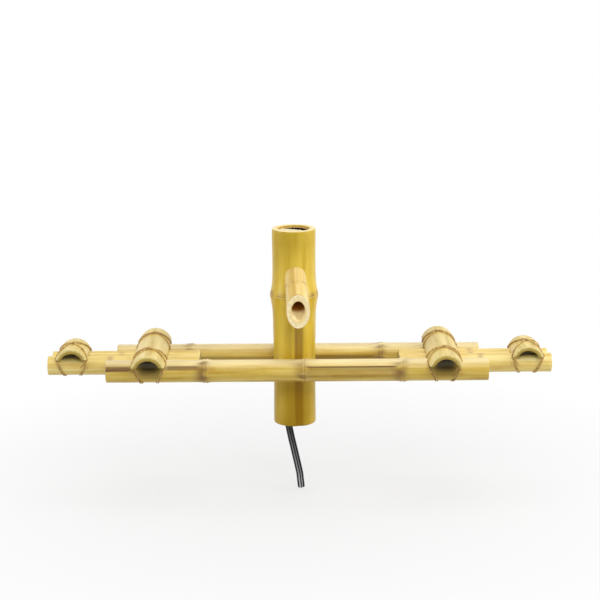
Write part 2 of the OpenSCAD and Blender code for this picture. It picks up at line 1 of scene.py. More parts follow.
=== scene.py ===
# %% [markdown]
# # A pouring bamboo fountain
# The fountain is a hollow bamboo post with a slanted spout. Two long bamboo arms clasp
# the post and rest on a bowl's rim, and two shorter poles slide out on each side.
# Split-bamboo saddles lie across the poles and are bound down with crossed wire.
# The construction is already packed as a fixed frame, so this lesson dresses it: each
# pole is modelled again with its nodes, grooves and sawn ends, in the same place.

# %% Load the frame
from math import (acos, atan, atan2, copysign, cos, degrees, exp, hypot, pi, radians,
                  sin, sqrt, tan, tau)

import bmesh
import bpy
from mathutils import Matrix, Vector, noise


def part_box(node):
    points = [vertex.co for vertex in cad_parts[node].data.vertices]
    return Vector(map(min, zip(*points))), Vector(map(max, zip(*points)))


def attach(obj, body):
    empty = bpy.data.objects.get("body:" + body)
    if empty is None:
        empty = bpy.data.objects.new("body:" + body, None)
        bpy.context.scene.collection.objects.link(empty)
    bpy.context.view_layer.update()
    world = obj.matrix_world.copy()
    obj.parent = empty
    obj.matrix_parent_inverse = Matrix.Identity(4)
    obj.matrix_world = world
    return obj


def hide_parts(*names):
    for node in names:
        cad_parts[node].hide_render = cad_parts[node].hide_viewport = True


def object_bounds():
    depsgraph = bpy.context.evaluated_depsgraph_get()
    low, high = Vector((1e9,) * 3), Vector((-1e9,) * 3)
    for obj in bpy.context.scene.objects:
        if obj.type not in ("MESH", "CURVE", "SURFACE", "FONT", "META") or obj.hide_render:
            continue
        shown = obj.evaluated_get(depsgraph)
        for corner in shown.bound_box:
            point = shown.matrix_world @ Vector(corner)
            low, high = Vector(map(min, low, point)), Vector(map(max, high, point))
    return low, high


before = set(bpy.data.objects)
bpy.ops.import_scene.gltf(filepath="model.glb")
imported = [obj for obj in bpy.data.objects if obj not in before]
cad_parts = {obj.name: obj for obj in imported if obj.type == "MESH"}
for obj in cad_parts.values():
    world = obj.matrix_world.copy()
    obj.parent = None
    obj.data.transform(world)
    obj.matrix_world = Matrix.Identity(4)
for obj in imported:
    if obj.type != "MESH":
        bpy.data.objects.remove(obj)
cad_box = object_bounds()

MM = 0.001

# %% [markdown]
# ## Helpers for pieces and materials
# Every piece ends the same way: its place goes into its mesh, it gets its materials, it
# rides on a body, and it may stand for a imported node. Colours are picked as sRGB hex
# values, as a paint is named, but the renderer mixes light in linear values, so one
# function turns the first into the second. One more function adds a shader node with
# its settings and links, so that a material reads as a short list. What several materials
# share is written once: how they end, and how one colour is laid over another.

# %% Helpers


def link_object(name, data):
    made = bpy.data.objects.new(name, data)
    bpy.context.scene.collection.objects.link(made)
    return made


def to_piece(name, bm, materials, body, slot, *replaced):
    """Makes a bmesh an object that rides on a body, and hides the imported nodes it stands for."""
    mesh = bpy.data.meshes.new(name)
    bm.to_mesh(mesh)
    bm.free()
    piece = link_object(name, mesh)
    for material in materials:
        mesh.materials.append(material)
    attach(piece, body)
    if replaced:
        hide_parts(*replaced)
    print(f"{name}: {len(mesh.polygons)} faces")
    return piece


def linear(hex_colour):
    channels = [int(hex_colour[i:i + 2], 16) / 255 for i in (1, 3, 5)]
    return [c / 12.92 if c <= 0.04045 else ((c + 0.055) / 1.055) ** 2.4 for c in channels] + [1]


MAIN_OUTPUT = {"TexCoord": "Object", "Attribute": "Fac", "Mix": 2}     # 2 is the Mix node's colour
COLOURS = {"data_type": "RGBA"}
TINT = {"data_type": "RGBA", "blend_type": "MULTIPLY"}


def add(tree, kind, stops=(), **words):
    """Adds a shader node. A word is one of the node's settings or else an input, and i0, i1
    and so on name an input by its number. An input is a value, a hex colour, a node or a
    (node, output) pair; a node alone gives its main output. Stops fill a colour ramp."""
    made = tree.nodes.new("ShaderNode" + kind)
    for index, (place, value) in enumerate(stops):
        elements = made.color_ramp.elements
        element = elements[index] if index < len(elements) else elements.new(place)
        element.position = place
        element.color = linear(value) if isinstance(value, str) else (value,) * 3 + (1,)
    for word, value in words.items():
        if hasattr(made, word):
            setattr(made, word, value)
            continue
        key = int(word[1:]) if word[1:].isdigit() else word.replace("_", " ")
        if isinstance(value, bpy.types.Node):
            value = value, MAIN_OUTPUT.get(value.bl_idname.removeprefix("ShaderNode"), 0)
        if isinstance(value, tuple) and isinstance(value[0], bpy.types.Node):
            tree.links.new(value[0].outputs[value[1]], made.inputs[key])
        else:
            made.inputs[key].default_value = linear(value) if isinstance(value, str) else value
    return made


def new_material(name):
    material = bpy.data.materials.new(name)
    material.use_nodes = True
    material.node_tree.nodes.clear()
    return material, material.node_tree


def surfaced(material, colour, roughness, height, strength, bump_mm, **words):
    """Ends a material's nodes with a bump and a principled surface."""
    tree = material.node_tree
    bump = add(tree, "Bump", Strength=strength, Distance=bump_mm * MM, Height=height)
    surface = add(tree, "BsdfPrincipled", Base_Color=colour, Roughness=roughness, Normal=bump,
                  **words)
    add(tree, "OutputMaterial", Surface=surface)
    return material


def laid_over(tree, base, colour, attribute, broken_by=None):
    """Lays a colour over another as far as an attribute says, broken up by a pattern."""
    amount = add(tree, "Attribute", attribute_name=attribute)
    if broken_by:
        amount = add(tree, "Math", operation="MULTIPLY", i0=amount, i1=broken_by)
    return add(tree, "Mix", **COLOURS, i0=amount, i6=base, i7=colour)

# %% [markdown]
# ## Camera
# The picture was taken with a long lens from a little above, straight from the front.
# The camera stands at that angle and distance, so that the saddles recede as they
# should. The place of the origin in the picture tells where the lens points.

# %% Camera
VIEW_ELEVATION = radians(15.3)
VIEW_DISTANCE = 2.787
LENS = 108
SENSOR = 36
FRAME_PX = 600
ORIGIN_PX = (294.0, 372.6)
ROLL = radians(0.35)


def place_camera():
    data = bpy.data.cameras.new("camera")
    data.lens, data.sensor_width = LENS, SENSOR
    data.clip_start, data.clip_end = 0.1, 60
    camera = link_object("camera", data)
    focal_px = LENS / SENSOR * FRAME_PX
    aim_down = VIEW_ELEVATION - atan((ORIGIN_PX[1] - FRAME_PX / 2) / focal_px)
    aim_right = atan((FRAME_PX / 2 - ORIGIN_PX[0]) / focal_px)
    camera.location = (0, -VIEW_DISTANCE * cos(VIEW_ELEVATION),
                       VIEW_DISTANCE * sin(VIEW_ELEVATION))
    turn = (Matrix.Rotation(-aim_right, 4, "Z")
            @ Matrix.Rotation(radians(90) - aim_down, 4, "X")
            @ Matrix.Rotation(-ROLL, 4, "Z"))
    camera.rotation_euler = turn.to_euler()
    bpy.context.scene.camera = camera
    print(f"the camera looks down by {degrees(aim_down):.1f} degrees")


place_camera()

# %% [markdown]
# ## The hose
# A black PVC hose brings the water up from the pump. It runs straight down from the post's
# node and hangs below the post in a slight bend, cut off square and left bare for the
# pump's outlet. It is a cord: its route repeats the construction's points, a smooth curve
# goes through them, and rings set square to the curve are bridged one after another. The
# last rings turn in at the sawn lip and run back up the bore.

# %% Hose
HOSE_END_SLOPE = radians(6)
HOSE_ROUTE_MM = [(-11.4, -62), (-11.4, -70), (-10.5, -80), (-8.4, -91), (-5.4, -106),
                 (-2, -121), (1.5, -137), (5.1, -153.6), (6.93784, -163), (7.6, -169.3)]
HOSE_MOUTH_MM = 16.05
HOSE_R = 5.5
HOSE_BORE_R = 4
HIGHLIGHT_LINES = (radians(-16.9), radians(22.5))     # round from the front to the right
HIGHLIGHT_HALF = radians(6)
HOSE_STEPS = 32


def smooth_route(points, parts):
    """A smooth curve through all the points, with each stretch cut in parts."""
    curve = []
    for i in range(len(points) - 1):
        before, after = points[max(i - 1, 0)], points[min(i + 2, len(points) - 1)]
        for j in range(parts):
            u = j / parts
            curve.append(0.5 * (2 * points[i] + (points[i + 1] - before) * u
                                + (2 * before - 5 * points[i] + 4 * points[i + 1] - after) * u * u
                                + (3 * points[i] - before - 3 * points[i + 1] + after) * u ** 3))
    return curve + [points[-1]]


def build_hose():
    corners = [Vector((x, 0, z)) * MM for x, z in HOSE_ROUTE_MM]
    way_out = Vector((sin(HOSE_END_SLOPE), 0, -cos(HOSE_END_SLOPE)))
    corners.append(corners[-1] + way_out * HOSE_MOUTH_MM * MM)
    route = smooth_route(corners, 3)
    bm = bmesh.new()
    painted_highlight = bm.verts.layers.float.new("painted_highlight")
    end = [(0.6, HOSE_R), (0, HOSE_R - 0.35), (0, HOSE_BORE_R + 0.3)]
    end += [(back, HOSE_BORE_R) for back in (0.5, 4, 8, 12, 15)]
    chain = [(p, HOSE_R) for p in route[:-1]]
    chain += [(route[-1] - way_out * back * MM, radius) for back, radius in end]
    rings = []
    for index, (point, radius) in enumerate(chain):
        if index < len(route) - 1:
            ahead = route[index + 1] - route[max(index - 1, 0)]
        else:
            ahead = way_out
        turn = Matrix.Rotation(atan2(ahead.x, ahead.z), 4, "Y")
        ring = bmesh.ops.create_circle(bm, segments=HOSE_STEPS, radius=radius * MM,
                                       matrix=Matrix.Translation(point) @ turn)["verts"]
        rings.append(ring)
        for v in ring:
            away = v.co - point
            turned = atan2(away.x, -away.y)
            # Painted highlight: two pale lines, stronger towards the loose end
            if radius == HOSE_R and min(abs(turned - a) for a in HIGHLIGHT_LINES) < HIGHLIGHT_HALF:
                v[painted_highlight] = 0.1 + 0.9 * (index / len(chain)) ** 2
    for one, other in zip(rings, rings[1:]):
        wanted = set(one) | set(other)
        edges = [e for e in bm.edges if (e.is_boundary or e.is_wire) and wanted.issuperset(e.verts)
                 and (e.verts[0] in one) == (e.verts[1] in one)]
        bmesh.ops.bridge_loops(bm, edges=edges)
    for ring in (rings[0], rings[-1]):
        bmesh.ops.contextual_create(bm, geom=ring)
    bmesh.ops.recalc_face_normals(bm, faces=bm.faces)
    for face in bm.faces:
        face.smooth = True
    length = sum((b - a).length for a, b in zip(route, route[1:]))
    hose = to_piece("hose_hanging", bm, [black_pvc()], "stand", "hose", "hose_tail", "hose_mouth")
    tuple(route[0])
    [tuple(p) for p in route]
    print(f"the hose hangs {length * 1000:.0f} mm long")


# %% [markdown]
# Extruded PVC is smooth and glossy with the faint long lines of its die. Two pale lines
# on its front right are painted highlights, strongest at the loose end.

# %% Hose finish
DIE_LINE_MM = 1.5


def black_pvc():
    material, tree = new_material("extruded_black_pvc")
    lines = add(tree, "Mapping", Vector=add(tree, "TexCoord"),
                Scale=(1 / (DIE_LINE_MM * MM), 1 / (DIE_LINE_MM * MM), 6))
    grain = add(tree, "TexNoise", Vector=lines, Scale=1.0, Detail=2.0)
    dust = add(tree, "ValToRGB", [(0.35, "#060607"), (0.75, "#121214")], Fac=grain)
    # Painted highlight along the two lines
    black = laid_over(tree, dust, "#F0F2F6", "painted_highlight")
    gloss = add(tree, "ValToRGB", [(0.3, 0.12), (0.8, 0.2)], Fac=grain)
    return surfaced(material, black, gloss, grain, 0.15, 0.1, IOR=1.53, Specular_IOR_Level=0.12)


build_hose()

# %% [markdown]
# ## Varnished bamboo skin
# Bamboo is a grass. Its skin is hard, smooth and waxy, and a clear varnish gives it a
# second, sharper gloss, so a coat lies over a fairly smooth base. Under it run fibres
# along the pole, with broader streaks and blotches where the skin dried unevenly. Near a
# node the skin is stained purple-brown, and the bed of a bud's groove is darker. The
# noise is stretched along the pole by squeezing its coordinates, which needs no
# unwrapping. Attributes that the modelling writes say where the nodes and the grooves
# are, and where light and shade are painted on: painted shade under the saddles, deep in
# the hollows and in dark bands laid like grooves, and a painted highlight along the
# upper sides.

# %% Bamboo skin
ALONG_X = (0, radians(90), 0)
ALONG_Y = (radians(90), 0, 0)
ALONG_Z = (0, 0, 0)
FIBRE_MM = 0.9     # real fibres lie 0.3 to 0.5 mm apart and wouldn't show
STREAK_MM = 5
BLOTCH_MM = 16


def stretched(tree, rotation, across_mm, along_mm, shift):
    """Object coordinates where one unit is across_mm across the pole and along_mm along it."""
    turn = add(tree, "Mapping", vector_type="TEXTURE", Vector=add(tree, "TexCoord"),
               Rotation=rotation)
    return add(tree, "Mapping", Vector=turn, Location=(shift, shift * 1.7, shift),
               Scale=(1 / (across_mm * MM), 1 / (across_mm * MM), 1 / (along_mm * MM)))


def bamboo_skin(name, rotation, tones, stain, groove_bed_and_shade, shift, scar="#D9BF80", shade_colour="#8A6A1C",
                streak_mm=STREAK_MM, line=0.9):
    """Varnished bamboo. The tones are the deep, middle and pale colour of its streaks."""
    material, tree = new_material(name)
    fibre = add(tree, "TexNoise", Vector=stretched(tree, rotation, FIBRE_MM, 45, shift),
                Scale=1.0, Detail=3.0, Roughness=0.6)
    streak = add(tree, "TexNoise", Vector=stretched(tree, rotation, streak_mm, 160, shift + 3),
                 Scale=1.0, Detail=2.0, Roughness=0.5)
    blotch = add(tree, "TexNoise", Vector=stretched(tree, rotation, BLOTCH_MM, 42, shift + 7),
                 Scale=1.0, Detail=3.0, Roughness=0.55)
    tone = add(tree, "ValToRGB", list(zip((0.32, 0.5, 0.7), tones)), Fac=streak)
    cloudy = add(tree, "ValToRGB", [(0.38, 0.0), (0.7, 0.5)], Fac=blotch)
    clouded = add(tree, "Mix", **COLOURS, i0=cloudy, i6=tone, i7=tones[-1])
    # Painted shade darkens the skin towards its shade colour, and a painted highlight lightens its
    # upper side
    lit_and_shaded = laid_over(tree, laid_over(tree, clouded, shade_colour, "painted_shade"), "#F8EDC8", "bleach")
    lines = add(tree, "ValToRGB", [(0.3, line), (0.52, 1.0), (0.8, 1.03)], Fac=fibre)
    lined = add(tree, "Mix", **TINT, i0=1.0, i6=lit_and_shaded, i7=lines)
    # A groove's bed, and a band of painted shade laid like one, is broken up by the streaks, and
    # the stain round a node by the blotches
    bed_lines = add(tree, "ValToRGB", [(0.35, 0.6), (0.6, 1.0)], Fac=streak)
    grooved = laid_over(tree, lined, groove_bed_and_shade, "groove_bed_and_shade", bed_lines)
    ragged = add(tree, "ValToRGB", [(0.3, 0.3), (0.58, 1.0)], Fac=blotch)
    ringed = laid_over(tree, laid_over(tree, grooved, stain, "stain", ragged), scar, "scar")
    # Where shade is painted on, the skin is also made less glossy
    dull = add(tree, "ValToRGB", [(0.0, 0.30), (1.0, 0.46)], Fac=fibre)
    painted_shade = add(tree, "Attribute", attribute_name="painted_shade")
    shaded_gloss = add(tree, "Math", operation="MULTIPLY_ADD", i0=painted_shade, i1=-0.3, i2=0.35)
    return surfaced(material, ringed, dull, fibre, 0.2, 0.25, IOR=1.5, Specular_IOR_Level=shaded_gloss,
                    Coat_Weight=0.1, Coat_Roughness=0.2, Coat_IOR=1.5)


# %% [markdown]
# ## Sawn end grain and the inner wall
# Sawn across, a bamboo wall shows its vascular bundles as small brown dots, crowded under
# the skin and sparse inside. The outer half of the wall is dense and pale, the inner half
# is pithy and takes up dirt, with a ragged line between them. The depth attribute runs
# from 0 at the hollow to 1 at the skin, so the ground is a ramp on it, roughened with a
# little noise, and the dots are a fine cell pattern. The inner wall is matt and papery.

# %% End grain and inner wall
BUNDLE_MM = 1.1    # a little coarser than the real 0.7 mm, to show from a step away
RAGGED_MM = 2.6
DIRT_MM = 5
INNER_FIBRE_MM = 1.2


def end_grain(name, tones, shift, dots="#9A7E38", bands=(0.25, 0.66, 0.8)):
    """A sawn end. The tones are the colour at the hollow, in the middle and at the skin."""
    material, tree = new_material(name)
    moved = add(tree, "Mapping", Vector=add(tree, "TexCoord"), Location=(shift, 0, 0))
    depth = add(tree, "Attribute", attribute_name="depth")
    waver = add(tree, "TexNoise", Vector=moved, Scale=1 / (RAGGED_MM * MM), Detail=4.0)
    level = add(tree, "Math", operation="MULTIPLY_ADD", i0=waver, i1=0.5, i2=depth)
    base = add(tree, "ValToRGB", list(zip(bands, tones)), Fac=level)
    cells = add(tree, "TexVoronoi", feature="F1", Vector=moved, Scale=1 / (BUNDLE_MM * MM))
    spots = add(tree, "ValToRGB", [(0.2, 1.0), (0.36, 0.0)], Fac=cells)
    crowd = add(tree, "ValToRGB", [(0.1, 0.10), (1.0, 0.5)], Fac=depth)
    amount = add(tree, "Math", operation="MULTIPLY", i0=spots, i1=crowd)
    dotted = add(tree, "Mix", **COLOURS, i0=amount, i6=base, i7=dots)
    dirt = add(tree, "TexNoise", Vector=moved, Scale=1 / (DIRT_MM * MM), Detail=3.0)
    cloud = add(tree, "ValToRGB", [(0.3, 0.86), (0.65, 1.04)], Fac=dirt)
    clouded = add(tree, "Mix", **TINT, i0=1.0, i6=dotted, i7=cloud)
    return surfaced(material, clouded, 0.62, cells, 0.4, 0.2)


def inner_wall(name, rotation, pale, deep, shift, shade_colour="#4A3212"):
    """The papery lining, darkened deep in the hollow by painted shade."""
    material, tree = new_material(name)
    fibre = add(tree, "TexNoise", Vector=stretched(tree, rotation, INNER_FIBRE_MM, 30, shift),
                Scale=1.0, Detail=3.0)
    tone = add(tree, "ValToRGB", [(0.3, deep), (0.7, pale)], Fac=fibre)
    return surfaced(material, laid_over(tree, tone, shade_colour, "painted_shade"), 0.8, fibre, 0.35, 0.3,
                    Specular_IOR_Level=0.1)


# %% [markdown]
# ## Turning a culm
# A bamboo culm is round but never quite true: it swells at each node into a thin scar, a
# groove and a rounded ridge, and it is a little oval and bent. The half section, out from
# one web, round the sawn edge, along the skin and in again, is drawn as one chain of
# edges and spun once round the axis. A full spin merges its last ring with its first.

# %% Spinning a section
NODE_SHAPE = [(-13, 0), (-9, 0.07), (-6, 0.2), (-2.8, 0.45), (-1.6, 0.92), (-1.1, 1.0),
              (-0.6, 0.88), (0, 0.4), (0.5, 0.36), (1.2, 0.6), (2, 0.86), (3, 1.0), (4, 0.9),
              (5, 0.7), (7, 0.38), (9, 0.16), (13, 0)]
SLIM_SHAPE = [(-8, 0), (-5, 0.12), (-3, 0.4), (-1.6, 0.9), (-1, 1.0), (-0.4, 0.7), (0, 0.5),
              (0.8, 0.66), (1.6, 0.9), (2.6, 0.75), (4, 0.35), (8, 0)]
EASE = 0.7
LEAST_STEP = 0.35
MERGE_MM = 0.002


def table_value(table, x):
    """Reads a list of (x, y) pairs, with straight lines between them."""
    if x <= table[0][0]:
        return table[0][1]
    for (x0, y0), (x1, y1) in zip(table, table[1:]):
        if x <= x1:
            return y0 + (y1 - y0) * (x - x0) / (x1 - x0)
    return table[-1][1]


def culm_radius(r, swell, ring, shape, nodes):
    """The skin's radius along a culm, which swells and has a ring at each node."""
    def radius(t):
        return r + table_value(swell, t) + ring * max(table_value(shape, t - n) for n in nodes)
    return radius


def stations(start, stop, step, extra=()):
    """Places along a culm, evenly spaced, with extra ones where the shape needs them."""
    count = max(2, round((stop - start) / step))
    places = {start + (stop - start) * i / count for i in range(count + 1)}
    kept = [start]
    for place in sorted(places | {p for p in extra if start < p < stop}):
        if place - kept[-1] > LEAST_STEP:
            kept.append(place)
    kept[-1] = stop
    return kept


def eased(r, start, stop, between):
    """A line of skin with its two sawn edges eased, as sandpaper leaves them."""
    return ([(r - EASE, start), (r - EASE * 0.3, start + EASE * 0.3)] + between
            + [(r - EASE * 0.3, stop - EASE * 0.3), (r - EASE, stop)])


def spin_chain(points, steps):
    """Spins a chain of (radius, distance) points once round the local z axis."""
    bm = bmesh.new()
    made = [bm.verts.new((r * MM, 0, t * MM)) for r, t in points]
    edges = [bm.edges.new(pair) for pair in zip(made, made[1:])]
    bmesh.ops.spin(bm, geom=made + edges, cent=(0, 0, 0), axis=(0, 0, 1), angle=tau,
                   steps=steps, use_merge=True, use_duplicate=False)
    bmesh.ops.remove_doubles(bm, verts=bm.verts, dist=MERGE_MM * MM)
    return bm


# %% [markdown]
# ## Natural faults, stains and material zones
# The faults stay under a third of a millimetre, less than the clearances between the
# pieces. Where a bud sat on a node, the next stretch has a long shallow groove, the mark
# by which one knows real bamboo. While the vertices are visited, each gets its stain,
# furrow, scar and depth, and each face its material: skin, sawn end or inner wall.

# %% Faults and zones
SKIN, SAWN, INSIDE, CRUMBLED = range(4)     # the order of a piece's materials
FAULT_MM = 0.18
FAULT_ROUND, FAULT_ALONG = 0.8, 0.018     # how fast the faults change round a culm, and per mm
PATCH_ROUND, PATCH_ALONG = 2.2, 0.05
SCAR_MM = 0.55
SKIN_OUT_MM = 0.6      # what lies further out from the hollow than this moves with the skin
SQUARE_ON = 0.9        # a face whose normal leans at least so far along the axis is a flat end


def clamp(x):
    return min(1, max(0, x))


class Groove:
    """A bud groove, or with little or no depth a band of painted shade: where it starts and stops,
    its angle, width, depth and darkness.
    """

    def __init__(self, start, stop, angle, width, depth, dark, taper=0.25):
        self.start, self.stop, self.angle = start, stop, radians(angle)
        self.width, self.depth, self.dark, self.taper = width, depth, dark, taper

    def strength(self, t, theta, radius):
        if not self.start < t < self.stop:
            return 0
        run = (t - self.start) / (self.stop - self.start)
        ends = min(1, (t - self.start) / 7, (self.stop - t) / 12)
        turn = (theta - self.angle + pi) % tau - pi
        side = abs(turn * radius) / (self.width * (1 - self.taper * run) / 2)
        return ends * (1 - side * side) if side < 1 else 0


def finish_culm(bm, bore, radius, ends, nodes=(), grooves=(), seed=0.0, bend=0.0, lying=False,
                stain_mm=10.0, stain_depth=0.8, stain_at=-0.35, shade_of=None, scar_at=-0.1,
                scar_depth=0.15, bleach_depth=0.45):
    """Moves the skin by small faults and writes the attributes and material zones."""
    stain, groove_bed_and_shade, scar, depth, painted_shade, bleach = [
        bm.verts.layers.float.new(name)
        for name in ("stain", "groove_bed_and_shade", "scar", "depth", "painted_shade", "bleach")]
    start, stop = ends
    for v in bm.verts:
        x, y, t = (c / MM for c in v.co)
        r, theta = hypot(x, y), atan2(y, x)
        v[depth] = clamp((r - bore) / (radius(t) - bore))
        if shade_of:
            v[painted_shade] = shade_of(t, theta, r)
        if r > bore + SKIN_OUT_MM:
            spot = Vector((cos(theta), sin(theta), 0))
            along = Vector((0, 0, t * FAULT_ALONG + seed))
            push = FAULT_MM * noise.noise(spot * FAULT_ROUND + along)
            for groove in grooves:
                deep = groove.strength(t, theta, r)
                push -= deep * groove.depth
                v[groove_bed_and_shade] = max(v[groove_bed_and_shade], min(1, 1.6 * deep) * groove.dark)
            for n in nodes:
                away = (t - n) / stain_mm - stain_at
                along = Vector((0, 0, n * 0.37 + t * PATCH_ALONG + seed))
                patch = noise.noise(spot * PATCH_ROUND + along)
                lean = 0.4 * cos(theta + 0.8) if lying else 0
                v[stain] = max(v[stain], stain_depth * exp(-away * away)
                               * clamp(0.7 + 1.5 * patch + lean))
                v[scar] = max(v[scar], scar_depth * exp(-((t - n - scar_at) / SCAR_MM) ** 2))
            # A painted highlight lightens the upper side of a lying pole
            if lying:
                v[bleach] = bleach_depth * clamp((-cos(theta) - 0.45) / 0.45)
            x, y = x * (r + push) / r, y * (r + push) / r
        run = (t - start) / (stop - start)
        sway = bend * sin(pi * run) * sin(2.3 * run + seed)
        v.co = Vector((x + sway * cos(seed), y + sway * sin(seed), t)) * MM
    bmesh.ops.recalc_face_normals(bm, faces=bm.faces)
    for f in bm.faces:
        centre = f.calc_center_median() / MM
        at_end = min(abs(centre.z - start), abs(centre.z - stop)) < 0.5
        sawn = abs(f.normal.z) > SQUARE_ON and at_end
        f.smooth = not sawn
        in_hollow = hypot(centre.x, centre.y) <= bore + 0.1
        f.material_index = INSIDE if in_hollow else SAWN if sawn else SKIN


# %% [markdown]
# ## The poles along X
# The long arms and the sliding poles are made by one function. It turns the local z axis
# to lie along +X. The local x axis then points down and the local y axis to the back, so
# a point h degrees above the horizontal on the front is at the angle 270 - h, and the
# underside is at 0. The stains lie more on it, where water stood. Each long arm is
# hollowed a little where it clasps the post, with a half-round file, so there its vertices
# are moved out. Where a saddle overhangs a long arm, the skin is painted dark as painted
# shade, and each pole's hollow is painted darker deep inside, also as painted shade. A
# painted highlight lightens the upper side of the long arms.

# %% Arms and sliding poles
ARM_R = 17
ARM_WALL = 5.5
ARM_Y = 48.5
ARM_RING = 1.5
ARM_WEB = 4
SLIDER_R = 14.5
SLIDER_WALL = 4.5
SLIDER_Y = 14.8
SLIDER_Z = 18
SLIDER_RING = 0.5
INTERNODE = 149.5
FRONT_NODES = [13.6 - INTERNODE, 13.6, 13.6 + INTERNODE]
BACK_NODES = [-14 - INTERNODE, -14, -14 + INTERNODE]
SLIDER_NODES = {"left_front_slider": -280.3, "left_back_slider": -266.0,
                "right_front_slider": 287.3, "right_back_slider": 273.0}
CLASP_R = 32.05
POLE_STEPS = 96
SADDLES_ON_ARMS = (-220, 227)
SHELTER_HALF_MM = 20
SHELTER_DEPTH = 0.95
LIT_MM = 22      # how far into a hollow light reaches
LIE_ALONG_X = Matrix.Rotation(radians(90), 4, "Y")
# The colour of the painted shade under the saddles' overhang
SADDLE_SHADE = "#2E2004"
ARM_SKIN = bamboo_skin("varnished_arm_skin", ALONG_X, ("#B8902A", "#D0AE40", "#E4CA70"),
                       "#6E4420", "#5C3212", 1.3, shade_colour=SADDLE_SHADE, streak_mm=7)
BACK_SKIN = bamboo_skin("varnished_back_arm_skin", ALONG_X, ("#BC9530", "#D2B044", "#E8D078"),
                        "#74492A", "#80600C", 4.1, shade_colour=SADDLE_SHADE)
SLIDER_SKIN = bamboo_skin("varnished_slider_skin", ALONG_X, ("#D6B054", "#E8CC70", "#F1DC90"),
                          "#9A6E58", "#94703F", 6.7, shade_colour=SADDLE_SHADE)
INNER_X = inner_wall("papery_inner_wall_along_x", ALONG_X, "#CDBB7C", "#A08748", 2.0)
SAWN_POLE = end_grain("sawn_pole_end", ("#C2AC60", "#DAC680", "#EBDBA0"), 0.0)


def saddle_and_hollow_shade(saddles, mouths, bore):
    """How much painted shade a point gets: much under a saddle on the skin, and deep in on the
    inner wall.
    """
    def shade_of(t, theta, r):
        if r < bore + SKIN_OUT_MM:
            return min(1, min(t - mouths[0], mouths[1] - t) / LIT_MM)
        under = max([1 - (abs(t - x) / SHELTER_HALF_MM) ** 4 for x in saddles] + [0])
        return SHELTER_DEPTH * under * clamp((0.85 - cos(theta)) / 1.2)
    return shade_of


def lay_pole(name, body, slot, skin, r, wall, y, z, nodes, ring, shape, **faults):
    low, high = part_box(name)
    start, stop = low[0] / MM, high[0] / MM
    bore, web = r - wall, ARM_WEB / 2
    radius = culm_radius(r, [(0, 0)], ring, shape, nodes)

    def hollow(mouth, floor):
        """The hollow of an end: from its mouth in to the web."""
        wall = [(bore, mouth + (floor - mouth) * k) for k in (0, 0.02, 0.3, 0.6, 0.9)]
        return wall + [(bore - 1.2, floor), (bore * 0.5, floor), (0, floor)]

    near_nodes = [n + d for n in nodes for d, _ in shape] + [t / 2 for t in range(-14, 15)]
    skin_line = [(radius(t), t) for t in stations(start + EASE, stop - EASE, 5, near_nodes)]
    bm = spin_chain(hollow(start, min(nodes) - web)[::-1] + eased(r, start, stop, skin_line)
                    + hollow(stop, max(nodes) + web), POLE_STEPS)
    saddles = SADDLES_ON_ARMS if "arm" in name else ()
    finish_culm(bm, bore, radius, (start, stop), nodes, lying=True,
                shade_of=saddle_and_hollow_shade(saddles, (start, stop), bore), **faults)
    bm.transform(Matrix.Translation((0, y * MM, z * MM)) @ LIE_ALONG_X)
    for v in bm.verts:
        if hypot(v.co.x, v.co.y) < CLASP_R * MM:
            clear = sqrt((CLASP_R * MM) ** 2 - v.co.x ** 2)
            v.co.y = copysign(clear, v.co.y)
    return to_piece(name + "_pole", bm, (skin, SAWN_POLE, INNER_X), body, slot, name)


def lay_long_arms():
    right = FRONT_NODES[1] + 2, FRONT_NODES[2] - 4
    lay_pole("front_arm", "stand", "bamboo_arm", ARM_SKIN, ARM_R, ARM_WALL, -ARM_Y, ARM_R,
             FRONT_NODES, ARM_RING, NODE_SHAPE, seed=0.4, bend=0.25,
             grooves=[Groove(*right, 257.5, 13.5, 2.0, 0.4, 0.15),
                      # A painted shadow, with no depth, under the groove's upper lip
                      Groove(*right, 238.5, 3.5, 0.0, 0.9, 0.0),
                      # A wide band of painted shade, with no depth, across the front
                      Groove(*right, 269, 22, 0.0, 0.45, 0.0),
                      Groove(-198, FRONT_NODES[0] - 3, 240, 8.0, 0.8, 0.9, 0.0),
                      Groove(-310, -242, 244, 10.0, 0.8, 1.0, 0.0)])
    lay_pole("back_arm", "stand", "bamboo_arm", BACK_SKIN, ARM_R, ARM_WALL, ARM_Y, ARM_R,
             BACK_NODES, ARM_RING, NODE_SHAPE, seed=2.1, bend=0.25,
             grooves=[Groove(BACK_NODES[1] + 3, BACK_NODES[2] - 4, 80, 12, 1.2, 0.5),
                      # Two bands of painted shade on the lower front; the first is also dented a
                      # little
                      Groove(BACK_NODES[1] + 6, BACK_NODES[2] - 4, 284, 18, 0.2, 0.9, 0),
                      Groove(BACK_NODES[0] + 4, BACK_NODES[1] - 4, 292, 18, 0.0, 0.6, 0)])


def lay_sliders():
    for index, (name, node_x) in enumerate(SLIDER_NODES.items()):
        side = -1 if "front" in name else 1
        body = "left_extension" if node_x < 0 else "right_extension"
        lay_pole(name, body, "bamboo_slider", SLIDER_SKIN, SLIDER_R, SLIDER_WALL,
                 side * SLIDER_Y, SLIDER_Z, [node_x], SLIDER_RING, SLIM_SHAPE,
                 seed=3.3 + index, bend=0.1, stain_mm=5.0, stain_depth=0.7, bleach_depth=0.0)


lay_long_arms()
lay_sliders()

# %% [markdown]
# ## The post
# The post is a thicker culm that stands upright. It swells towards its one node ring, a
# sharp ridge with a pale scar, and has a bud groove below it, on the front right. Its top
# is sawn just above a diaphragm, which is broken away in a ragged crescent at the back.
# The skin with its two open hollows is one closed turning, and the sealed hollow between
# the diaphragms is another. Where the spout goes in, and where the diaphragm is broken,
# the faces of both are deleted and the two edges are bridged through the wall.

